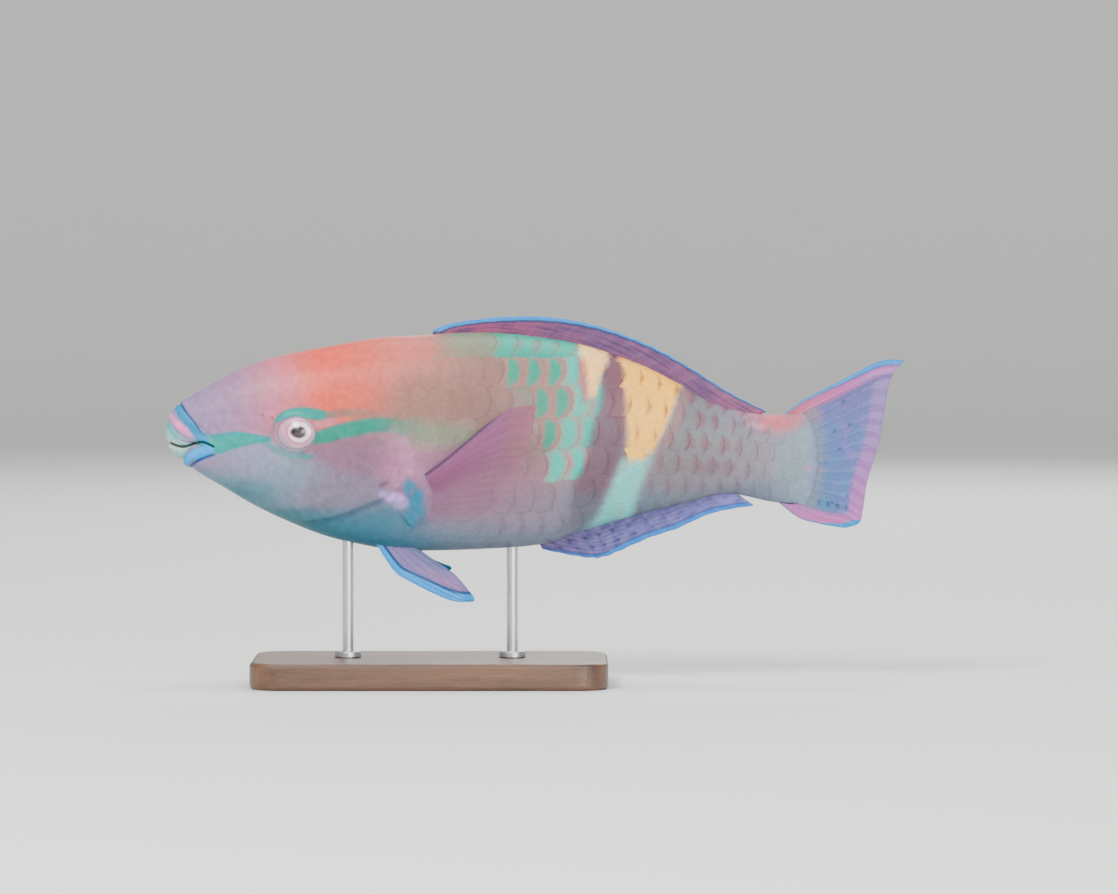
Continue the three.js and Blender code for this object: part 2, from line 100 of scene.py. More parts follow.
def bump(values: Array, width: float) -> Array:
    """Bell of height 1 and the given half width."""
    return np.exp(-((values / width) ** 2))


def signed_power(values: Array, power: float) -> Array:
    """Power of each value's size, with its sign kept."""
    return np.sign(values) * np.abs(values) ** power


def to_step(start: Pair, end: Pair, length: Array, height: Array) -> Tuple[Array, Array]:
    """Distance to a straight step, and the share of it passed at the nearest place."""
    dx, dz = end[0] - start[0], end[1] - start[1]
    t = np.clip(((length - start[0]) * dx + (height - start[1]) * dz) / (dx * dx + dz * dz), 0, 1)
    return np.hypot(length - start[0] - t * dx, height - start[1] - t * dz), t


class Outline:
    """A monotone cubic through (place, value) points, which never bulges between them."""

    def __init__(self, points: Sequence[Pair]) -> None:
        """Fits the tangents.

        Args:
            points: places in rising order, each with its value.
        """
        self.place = np.array([p[0] for p in points], float)
        self.value = np.array([p[1] for p in points], float)
        self.run = np.diff(self.place)
        slope = np.diff(self.value) / self.run
        self.tangent = np.empty(len(points))
        self.tangent[0], self.tangent[-1] = slope[0], slope[-1]
        for i in range(1, len(points) - 1):
            before, after = slope[i - 1], slope[i]
            if before * after <= 0:
                self.tangent[i] = 0.0
                continue
            wide_before = 2 * self.run[i] + self.run[i - 1]
            wide_after = self.run[i] + 2 * self.run[i - 1]
            self.tangent[i] = (wide_before + wide_after) / (wide_before / before + wide_after / after)

    def __call__(self, places: Array) -> Array:
        """Values at the given places.

        Args:
            places: where the values are wanted.

        Returns:
            One value for each.
        """
        i = np.clip(np.searchsorted(self.place, places, side="right") - 1, 0, len(self.run) - 1)
        t = (places - self.place[i]) / self.run[i]
        rise = (1 + 2 * t) * (1 - t) ** 2 * self.value[i] + t * t * (3 - 2 * t) * self.value[i + 1]
        bend = t * (1 - t) ** 2 * self.tangent[i] - t * t * (1 - t) * self.tangent[i + 1]
        return rise + bend * self.run[i]


class Curve:
    """A smooth curve through plane points, run from 0 to 1."""

    def __init__(self, points: Sequence[Pair]) -> None:
        """Keeps the points that the curve passes through."""
        self.points = np.array(points, float)

    def __call__(self, t: Array) -> Array:
        """Places along the curve.

        Args:
            t: run along the curve, 0 to 1, of any shape.

        Returns:
            An array with one more axis, of size 2.
        """
        t = np.asarray(t, float)
        last = len(self.points) - 1
        spot = np.clip(t, 0, 1) * last
        i = np.clip(np.floor(spot).astype(int), 0, last - 1)
        w = (spot - i)[..., None]
        p0, p1 = self.points[np.maximum(i - 1, 0)], self.points[i]
        p2, p3 = self.points[i + 1], self.points[np.minimum(i + 2, last)]
        v0, v1 = (p2 - p0) / 2, (p3 - p1) / 2
        cubic = (2 * p1 - 2 * p2 + v0 + v1) * w ** 3
        return cubic + (3 * p2 - 3 * p1 - 2 * v0 - v1) * w ** 2 + v0 * w + p1

    def path(self, count: int) -> Array:
        """Evenly run points along the curve."""
        return self(np.linspace(0, 1, count + 1))

    def distance(self, length: Array, height: Array, count: int = 24) -> Tuple[Array, Array]:
        """Distance to the curve and the run at the nearest place.

        Args:
            length: places along the fish.
            height: heights from its axis.
            count: straight steps that the curve is split into.

        Returns:
            The distances, and the runs from 0 to 1.
        """
        path = self.path(count)
        best = np.full(np.shape(length), np.inf)
        run = np.zeros(np.shape(length))
        for k in range(count):
            away, t = to_step(path[k], path[k + 1], length, height)
            near = away < best
            best = np.where(near, away, best)
            run = np.where(near, (k + t) / count, run)
        return best, run

    def away(self, length: Array, height: Array) -> Array:
        """Distance to the curve."""
        return self.distance(length, height)[0]


def within(outline: Array, length: Array, height: Array) -> Array:
    """Tells which places lie inside a closed outline.

    Args:
        outline: its corners, one row for each.
        length: places along the fish.
        height: heights from its axis.

    Returns:
        True for the places inside.
    """
    inside = np.zeros(np.shape(length), bool)
    x, z = outline[:, 0], outline[:, 1]
    for k in range(len(x)):
        j = k - 1
        crosses = (z[k] > height) != (z[j] > height)
        rise = z[j] - z[k]
        if rise == 0:
            continue
        inside ^= crosses & (length < (x[j] - x[k]) * (height - z[k]) / rise + x[k])
    return inside


@dataclass(frozen=True)
class BodyForm:
    """The fish's flesh as a smooth closed surface, before lips, folds and scales."""

    flesh_length: float = 294.0
    section_power: float = 2 / 2.2
    upper_fullness: float = 0.06
    back: Line = (
        (0, 3.1), (1.35, 9.4), (5.85, 15.7), (18, 23.4), (42.75, 35.3), (69.75, 41.4),
        (105.75, 47), (141.75, 49.05), (177.75, 45.5), (213.75, 34.65), (231.75, 25.65),
        (245.25, 18.2), (258.75, 13.7), (272.25, 11.9), (286, 12.6), (294, -9))
    belly: Line = (
        (0, 3.1), (1.35, -3.15), (9, -10.35), (24.75, -20.25), (49.5, -34), (81, -45.5),
        (114.75, -50.4), (155.25, -49), (171, -47.3), (186.75, -41.9), (201.15, -37.4),
        (233.1, -29.25), (252.9, -24.8), (272, -28.3), (286, -30), (294, -9))
    half_width: Line = (
        (0, 0), (1.35, 4.4), (10, 9.2), (29, 14), (56, 18.6), (90, 21.4), (135, 22.2),
        (175, 20.2), (215, 15), (250, 8.8), (275, 5), (286, 3), (294, 0))

    def __post_init__(self) -> None:
        """Fits the three outlines over stations."""
        for name in ("back", "belly", "half_width"):
            points = [(self.station(np.array(a)), b) for a, b in getattr(self, name)]
            object.__setattr__(self, f"{name}_at", Outline(points))

    def station(self, length: Array) -> Array:
        """Station from 0 to 1 for a length; stations crowd at both round ends."""
        clamped = np.clip(length, 0, self.flesh_length)
        return np.arccos(1 - 2 * clamped / self.flesh_length) / math.pi

    def length(self, station: Array) -> Array:
        """Length for a station."""
        return self.flesh_length * (1 - np.cos(math.pi * station)) / 2

    def point(self, station: Array, angle: Array) -> Array:
        """Places on the surface, in the fish's own millimetres.

        Args:
            station: 0 at the snout to 1 at the tail end.
            angle: 0 on the back, a quarter turn on the left flank.

        Returns:
            An array with one more axis: length, Y, height.
        """
        back, belly = self.back_at(station), self.belly_at(station)
        cosine, sine = np.cos(angle), np.sin(angle)
        wide = self.half_width_at(station) * (1 + self.upper_fullness * cosine)
        height = (back + belly) / 2 + (back - belly) / 2 * signed_power(cosine, self.section_power)
        out = wide * signed_power(sine, self.section_power)
        return np.stack([self.length(station), -out, height], axis=-1)

    def normal(self, station: Array, angle: Array) -> Array:
        """Outward unit normals.

        Args:
            station: 0 at the snout to 1 at the tail end.
            angle: 0 on the back, a quarter turn on the left flank.

        Returns:
            An array with one more axis, of size 3.
        """
        small = 1e-4
        along = self.point(np.minimum(station + small, 1), angle)
        along = along - self.point(np.maximum(station - small, 0), angle)
        around = self.point(station, angle + small) - self.point(station, angle - small)
        square = np.cross(around, along)
        size = np.linalg.norm(square, axis=-1, keepdims=True)
        ends = np.where(station < 0.5, -1.0, 1.0)[..., None] * np.array([1.0, 0.0, 0.0])
        return np.where(size > 1e-12, square / np.maximum(size, 1e-12), ends)

    def cosine(self, length: Array, height: Array) -> Array:
        """Cosine of the angle round the body at a place in side view."""
        station = self.station(length)
        back, belly = self.back_at(station), self.belly_at(station)
        level = np.clip((height - (back + belly) / 2) / ((back - belly) / 2), -1, 1)
        return signed_power(level, 1 / self.section_power)

    def flank(self, length: Array, height: Array) -> Array:
        """Distance of the flank from the mid plane at a place in side view.

        Args:
            length: places along the fish.
            height: heights from its axis.

        Returns:
            Millimetres from the mid plane.
        """
        cosine = self.cosine(length, height)
        sine = np.sqrt(np.maximum(0, 1 - cosine ** 2))
        wide = self.half_width_at(self.station(length)) * (1 + self.upper_fullness * cosine)
        return wide * sine ** self.section_power

    def front(self, height: Array) -> Array:
        """Length of the snout's profile at a height."""
        station = np.linspace(0, self.station(np.array(30.0)), 200)
        upper = np.interp(height, self.back_at(station), self.length(station))
        lower = np.interp(-height, -self.belly_at(station), self.length(station))
        return np.where(height > self.back[0][1], upper, lower)

    def foot(self, edge: Outline, start: float, end: float, sink: float) -> Line:
        """Root line of a fin, sunk into the flesh.

        Args:
            edge: heights of the back or the belly over stations.
            start: length of its front end.
            end: length of its rear end.
            sink: how far it lies below the edge.

        Returns:
            Places along the root.
        """
        spots = np.linspace(start, end, 9)
        return tuple(zip(spots.tolist(), (edge(self.station(spots)) - sink).tolist()))


def in_frame(points: Array) -> Array:
    """Moves places on the fish, in millimetres, into the frame, in metres."""
    return (points + np.array([SNOUT_X, 0.0, AXIS_HEIGHT])) * MM


class Girth:
    """Turns a distance along the skin from the middle of the flank into an angle."""

    def __init__(self, form: BodyForm, rings: int = 240, samples: int = 241) -> None:
        """Measures the skin's girth at many stations.

        Args:
            form: the flesh.
            rings: stations measured.
            samples: angles measured at each station.
        """
        self.form = form
        self.rings = rings
        station = np.linspace(0.01, 0.99, rings)
        self.first, self.step = station[0], station[1] - station[0]
        self.level = np.linspace(-1, 1, 161)
        self.up, self.down = np.empty(rings), np.empty(rings)
        self.table = np.empty((rings, len(self.level)))
        angle = np.linspace(0, math.pi, samples)
        for i, place in enumerate(station):
            ring = form.point(np.full(samples, place), angle)
            run = np.concatenate([[0], np.cumsum(np.linalg.norm(np.diff(ring, axis=0), axis=1))])
            middle = np.interp(math.pi / 2, angle, run)
            self.up[i], self.down[i] = middle, run[-1] - middle
            reach = np.where(self.level > 0, self.level * self.up[i], self.level * self.down[i])
            self.table[i] = np.interp(middle - reach, run, angle)

    def _spot(self, length: Array) -> Tuple[Array, Array]:
        """Ring index and blend for lengths."""
        spot = (self.form.station(length) - self.first) / self.step
        i = np.clip(np.floor(spot).astype(int), 0, self.rings - 2)
        return i, np.clip(spot - i, 0, 1)

    def level_of(self, length: Array, reach: Array) -> Array:
        """Reach as a share of the way from the flank's middle to the back or the belly."""
        i, w = self._spot(length)
        up = self.up[i] * (1 - w) + self.up[i + 1] * w
        down = self.down[i] * (1 - w) + self.down[i + 1] * w
        return np.where(reach > 0, reach / up, reach / down)

    def angle(self, length: Array, level: Array) -> Array:
        """Angle on the left flank for a level; levels past the back or belly are eased to them.

        Args:
            length: places along the fish.
            level: 1 on the back to -1 on the belly.

        Returns:
            Radians from the back.
        """
        soft = 0.08
        over = np.abs(level) > 1 - soft
        eased = 1 - soft * np.exp(-(np.abs(level) - 1 + soft) / soft)
        level = np.where(over, np.sign(level) * eased, level)
        i, w = self._spot(length)
        spot = (level + 1) / 2 * (len(self.level) - 1)
        j = np.clip(np.floor(spot).astype(int), 0, len(self.level) - 2)
        x = spot - j
        near = self.table[i, j] * (1 - x) + self.table[i, j + 1] * x
        far = self.table[i + 1, j] * (1 - x) + self.table[i + 1, j + 1] * x
        return near * (1 - w) + far * w


def wander(length: Array, height: Array, size: float, seed: int) -> Array:
    """Smooth seeded variation between about -1 and 1.

    Args:
        length: places along the fish.
        height: heights from its axis.
        size: distance over which it varies, in mm.
        seed: picks the pattern.

    Returns:
        One value for each place.
    """
    draw = random.Random(seed)
    total = np.zeros(np.shape(length))
    for _ in range(7):
        turn, phase = draw.uniform(0, math.tau), draw.uniform(0, math.tau)
        pitch = math.tau / (size * draw.uniform(0.7, 1.9))
        total += np.sin((length * math.cos(turn) + height * math.sin(turn)) * pitch + phase)
    return total / 3.5


@dataclass(frozen=True)
class HeadForm:
    """Mouth, lips, eye rims, nostrils and gill cover, as rises and dips of the skin."""

    gill_margin: Line = (
        (98, 48), (101, 26), (104.5, 8), (109.8, -4), (110.6, -13), (103.5, -22.2),
        (89.5, -29.2), (78, -33.6), (66, -36.2), (56, -35.8), (46, -33.2))
    gill_rise: float = 0.45
    gill_falloff: float = 6.0
    gill_groove: float = 0.12
    gill_top: float = -3.0
    gill_fade: float = 12.0
    mouth_line: Line = (
        (-4, -1.2), (1.35, -1.35), (7.65, -3), (13.8, -1.35), (17.8, -0.6), (22.7, -2.5))
    upper_lip_edge: Line = (
        (-4, 14.5), (1.6, 9.9), (2.9, 5.4), (5.4, 1.5), (9.45, -0.5), (15.75, -1))
    lower_lip_edge: Line = (
        (15.75, -1), (11.25, -4.2), (9.7, -7.65), (7.6, -12), (5.5, -17))
    upper_lip_crest: Line = (
        (1, 13), (5, 8.7), (8.6, 4), (14, 1), (19, -0.6), (22.4, -1.9))
    upper_lip_fold: Line = ((5.5, 17.5), (9.5, 13), (13.5, 8.6), (17.5, 5), (21, 2.4))
    lower_lip_crest: Line = (
        (22.6, -3.7), (17, -5.2), (12.8, -7.2), (10, -10.3), (7, -14.5))
    lower_lip_fold: Line = ((23, -6), (16.5, -8.3), (13.6, -11), (11.5, -16))
    lip_rise: float = 0.8
    lip_width: float = 1.8
    fold_depth: float = 0.5
    fold_width: float = 0.7
    beak_recess: float = 1.6
    cleft_depth: float = 2.2
    cleft_width: float = 0.45
    eye_place: Pair = (60.0, 3.8)
    eye_opening: Pair = (8.3, 7.0)
    socket_depth: float = 3.0
    orbit_rise: float = 0.75
    nostrils: Line = ((44.6, 11.6), (49, 10.2))
    nostril_depth: float = 1.3
    nostril_radius: float = 0.75
    nostril_rim: float = 0.35
    cheek_edge: Line = (
        (72, 6), (80, 1), (85, -8), (83, -18), (74, -26), (60, -30), (44, -26))
    cheek_rise: float = 0.35
    cheek_width: float = 1.6
    fin_pad: Line = ((112.5, -17), (116.3, -25), (116, -33))
    pad_rise: float = 1.5
    pad_width: float = 4.0
    coat_depth: float = 0.6

    def __post_init__(self) -> None:
        """Fits a curve through each named line."""
        lines = ("gill_margin", "mouth_line", "upper_lip_edge", "lower_lip_edge", "cheek_edge",
                 "upper_lip_crest", "upper_lip_fold", "lower_lip_crest", "lower_lip_fold", "fin_pad")
        for name in lines:
            object.__setattr__(self, f"{name}_curve", Curve(getattr(self, name)))

    def on_head(self, length: Array, height: Array) -> Array:
        """Tells which places lie in front of the gill cover's margin."""
        border = self.gill_margin_curve.path(40)[::-1]
        outline = np.concatenate([[(-30, -90), (46, -90)], border, [(98, 90), (-30, 90)]])
        return within(outline, length, height)

    def at_beak(self, length: Array, height: Array) -> Array:
        """Tells which places lie in front of the lips."""
        upper = self.upper_lip_edge_curve.path(14)
        lower = self.lower_lip_edge_curve.path(12)
        outline = np.concatenate([upper, lower[1:], [(-12, -17), (-12, 14.5)]])
        return within(outline, length, height)

    def scaled(self, length: Array, height: Array) -> Array:
        """Depth of the scale coat there, from 0 on the bare head to 1 on the trunk.

        Args:
            length: places along the fish.
            height: heights from its axis.

        Returns:
            A share from 0 to 1 for each place.
        """
        cover = self.cover(height)
        gill = self.gill_margin_curve.away(length, height)
        behind = np.where(self.on_head(length, height), 0.0, ease(gill, 0.0, 3.0))
        nape = ease(length, 62, 100) * ease(height, 6, 18)
        soft = np.maximum(nape, ease(length, 98, 112))
        return (behind * cover + soft * (1 - cover)) * (1 - ease(length, 284, 292))

    def cover(self, height: Array) -> Array:
        """Share of the gill cover's raised edge, gone above the eye's level."""
        return 1 - ease(height, self.gill_top, self.gill_top + self.gill_fade)

    def scale_rise(self, length: Array, height: Array) -> Array:
        """How far scales stand up, from 0 on smooth parts to 1 behind the yellow patches."""
        share = 0.08 * ease(length, 112, 150) + 0.06 * ease(length, 200, 225)
        share = share * (1 - 0.7 * ease(length, 246, 280))
        return share * (0.45 + 0.55 * ease(height, -44, -24))

    def pad(self, length: Array, height: Array) -> Array:
        """Rise of the fleshy base of the pectoral fin."""
        return self.pad_rise * bump(self.fin_pad_curve.away(length, height), self.pad_width)

    def relief(self, length: Array, height: Array) -> Array:
        """Height of the skin over the smooth flesh.

        Args:
            length: places along the fish.
            height: heights from its axis.

        Returns:
            Millimetres outwards at each place.
        """
        rise = np.zeros(np.shape(length))
        for crest in (self.upper_lip_crest_curve, self.lower_lip_crest_curve):
            rise += self.lip_rise * bump(crest.away(length, height), self.lip_width)
        for fold in (self.upper_lip_fold_curve, self.lower_lip_fold_curve):
            rise -= self.fold_depth * bump(fold.away(length, height), self.fold_width)
        edge = np.minimum(self.upper_lip_edge_curve.away(length, height),
                          self.lower_lip_edge_curve.away(length, height))
        recess = np.where(self.at_beak(length, height), ease(edge, 0.0, 0.8), 0.0)
        rise = rise * (1 - recess) - self.beak_recess * recess
        cleft, run = self.mouth_line_curve.distance(length, height)
        rise -= self.cleft_depth * bump(cleft, self.cleft_width) * ease(run, 0.45, 0.6)
        across = (length - self.eye_place[0]) / self.eye_opening[0]
        up = (height - self.eye_place[1]) / self.eye_opening[1]
        ring = np.hypot(across, up)
        rise += self.orbit_rise * bump(ring - 1.13, 0.11) - 0.2 * bump(ring - 1.42, 0.12)
        rise -= self.socket_depth * (1 - ease(ring, 0.86, 1.04))
        for nostril in self.nostrils:
            away = np.hypot(length - nostril[0], height - nostril[1])
            rise += self.nostril_rim * bump(away - 1.35, 0.45)
            rise -= self.nostril_depth * bump(away, self.nostril_radius)
        cheek, run = self.cheek_edge_curve.distance(length, height)
        rise += self.cheek_rise * bump(cheek, self.cheek_width) * ease(run, 0, 0.15) * (1 - ease(run, 0.8, 1))
        gill = self.gill_margin_curve.away(length, height)
        head = self.on_head(length, height)
        edge = self.cover(height) * ease(length, 52, 74)
        raised, groove = self.gill_rise * bump(gill, self.gill_falloff), self.gill_groove * bump(gill, 1.3)
        rise += edge * np.where(head, raised, -groove)
        rise += self.pad(length, height) * ~head
        return rise - self.coat_depth * self.scaled(length, height)


def pigment(paint: Array, tone: float = 0.79, depth: float = 1.4, strength: float = 1.12,
            gain: float = 1.54) -> Array:
    """Works out the pigment for colours as they should look under bright studio light.

    Such light and the clear coat wash a colour out, so its pigment is deeper and further
    from grey, the more so the paler the colour is.

    Args:
        paint: linear colours as they should look.
        tone: lightness of the pigment for white.
        depth: power that the lightness is raised to.
        strength: how much further from grey a dark pigment is.
        gain: how much more a pale one is.

    Returns:
        Linear colours of the pigment.
    """
    grey = np.maximum(paint @ np.array([0.2126, 0.7152, 0.0722]), 1e-4)
    deep = tone * grey ** depth
    far = strength + gain * grey
    hue = paint / grey[..., None] - 1
    return np.clip(deep[..., None] * (1 + hue * far[..., None]), 0.003, 0.95)


def plain(code: str, points: Array) -> Array:
    """One colour for every point."""
    return np.broadcast_to(srgb(code), (len(points), 3))


def lay(paint: Array, shade: Shade, cover: Array) -> Array:
    """Lays one shade over a paint by the share that it covers."""
    tint = srgb(shade) if isinstance(shade, str) else shade
    return paint + (tint - paint) * np.clip(cover, 0, 1)[..., None]


def coats(paint: Array, *layers: Tuple[Shade, Array]) -> Array:
    """Lays shades over a paint, one after another."""
    for shade, cover in layers:
        paint = lay(paint, shade, cover)
    return paint


@dataclass(frozen=True)
class Zone:
    """A soft area of ground colour on the flesh."""

    name: str
    place: Pair
    spread: Pair
    shade: str


@dataclass(frozen=True)
class Band:
    """A painted line along a curve, with its half width and strength along the run."""

    name: str
    points: Line
    half_widths: Tuple[float, ...]
    strengths: Tuple[float, ...]
    shade: str
    soft: float = 0.35
    patchy: float = 0.0

    def cover(self, length: Array, height: Array) -> Array:
        """Share of the band's colour at each place.

        Args:
            length: places along the fish.
            height: heights from its axis.

        Returns:
            A share from 0 to 1 for each place.
        """
        away, run = Curve(self.points).distance(length, height)
        even = np.linspace(0, 1, len(self.half_widths))
        wide = np.interp(run, even, self.half_widths)
        strong = np.interp(run, np.linspace(0, 1, len(self.strengths)), self.strengths)
        if self.patchy > 0:
            strong = strong * (1 + self.patchy * wander(length, height, 3.5, 23))
        return strong * (1 - ease(away / wide, 1 - self.soft, 1 + self.soft))


@dataclass(frozen=True)
class Patch:
    """A painted area inside a closed outline, in the scale's middle and on its rear edge."""

    name: str
    outline: Line
    middle: str
    margin: str
    margin_width: float
    soft: float
    strength: float
    snap: float

    def cover(self, length: Array, height: Array) -> Array:
        """Share of the patch at each place, fading over its soft edge.

        Args:
            length: places along the fish.
            height: heights from its axis.

        Returns:
            A share from 0 to 1 for each place.
        """
        loop = np.array(self.outline + self.outline[:1], float)
        away = np.full(np.shape(length), np.inf)
        for start, end in zip(loop[:-1], loop[1:]):
            away = np.minimum(away, to_step(start, end, length, height)[0])
        signed = np.where(within(loop[:-1], length, height), away, -away)
        return self.strength * ease(signed, -self.soft, self.soft)

    def on_scales(self, place: Array, home: Array) -> Array:
        """Share of the patch at places that are drawn in towards their own scale's middle."""
        drawn = place + (home - place) * self.snap
        return self.cover(drawn[:, 0], drawn[:, 1])


GROUND = (
    Zone("chin", (28, -12), (9, 5), "#a69cb6"),
    Zone("chin under", (24, -18), (8, 4), "#84a5aa"),
    Zone("upper snout", (16, 17), (12, 10), "#a898b8"),
    Zone("forehead", (34, 22), (15, 12), "#b596b0"),
    Zone("brow", (52, 24), (13, 13), "#d8929c"),
    Zone("nape front", (72, 30), (14, 16), "#f07f74"),
    Zone("nape", (90, 27), (13, 16), "#e5857c"),
    Zone("nape behind", (112, 38), (14, 10), "#dd8f89"),
    Zone("shoulder", (112, 18), (14, 10), "#aa877f"),
    Zone("upper flank", (138, 26), (22, 16), "#aa867e"),
    Zone("under the band", (124, 3), (20, 5), "#9ea093"),
    Zone("suborbital", (38, -7), (12, 6), "#a9a8bc"),
    Zone("cheek", (50, -17), (16, 9), "#9aa5b3"),
    Zone("jaw", (36, -23), (14, 5), "#628f9c"),
    Zone("upper opercle", (88, -4), (14, 8), "#9d7d92"),
    Zone("opercle edge", (106, -7), (7, 10), "#c290aa"),
    Zone("lower opercle", (80, -24), (17, 8), "#968c9e"),
    Zone("throat", (60, -37), (20, 5), "#5f8e9a"),
    Zone("breast", (92, -38), (18, 7), "#608da4"),
    Zone("breast low", (100, -47), (22, 5), "#5a8a9e"),
    Zone("fin pit", (122, -24), (10, 10), "#a2849d"),
    Zone("under the fin", (142, -16), (20, 16), "#b0869b"),
    Zone("lower flank", (160, -30), (20, 9), "#9e92a0"),
    Zone("belly", (140, -44), (34, 8), "#939eae"),
    Zone("mid flank", (165, 8), (16, 20), "#ab9290"),
    Zone("rear flank", (228, 0), (26, 26), "#968c92"),
    Zone("rear belly", (215, -30), (26, 8), "#7f93a2"),
    Zone("peduncle", (258, -6), (16, 14), "#a098a2"),
    Zone("peduncle back", (262, 13), (18, 7), "#b29ab4"),
    Zone("peduncle under", (262, -25), (18, 6), "#8590a4"),
    Zone("tail base", (288, -9), (12, 16), "#9dabb2"),
)

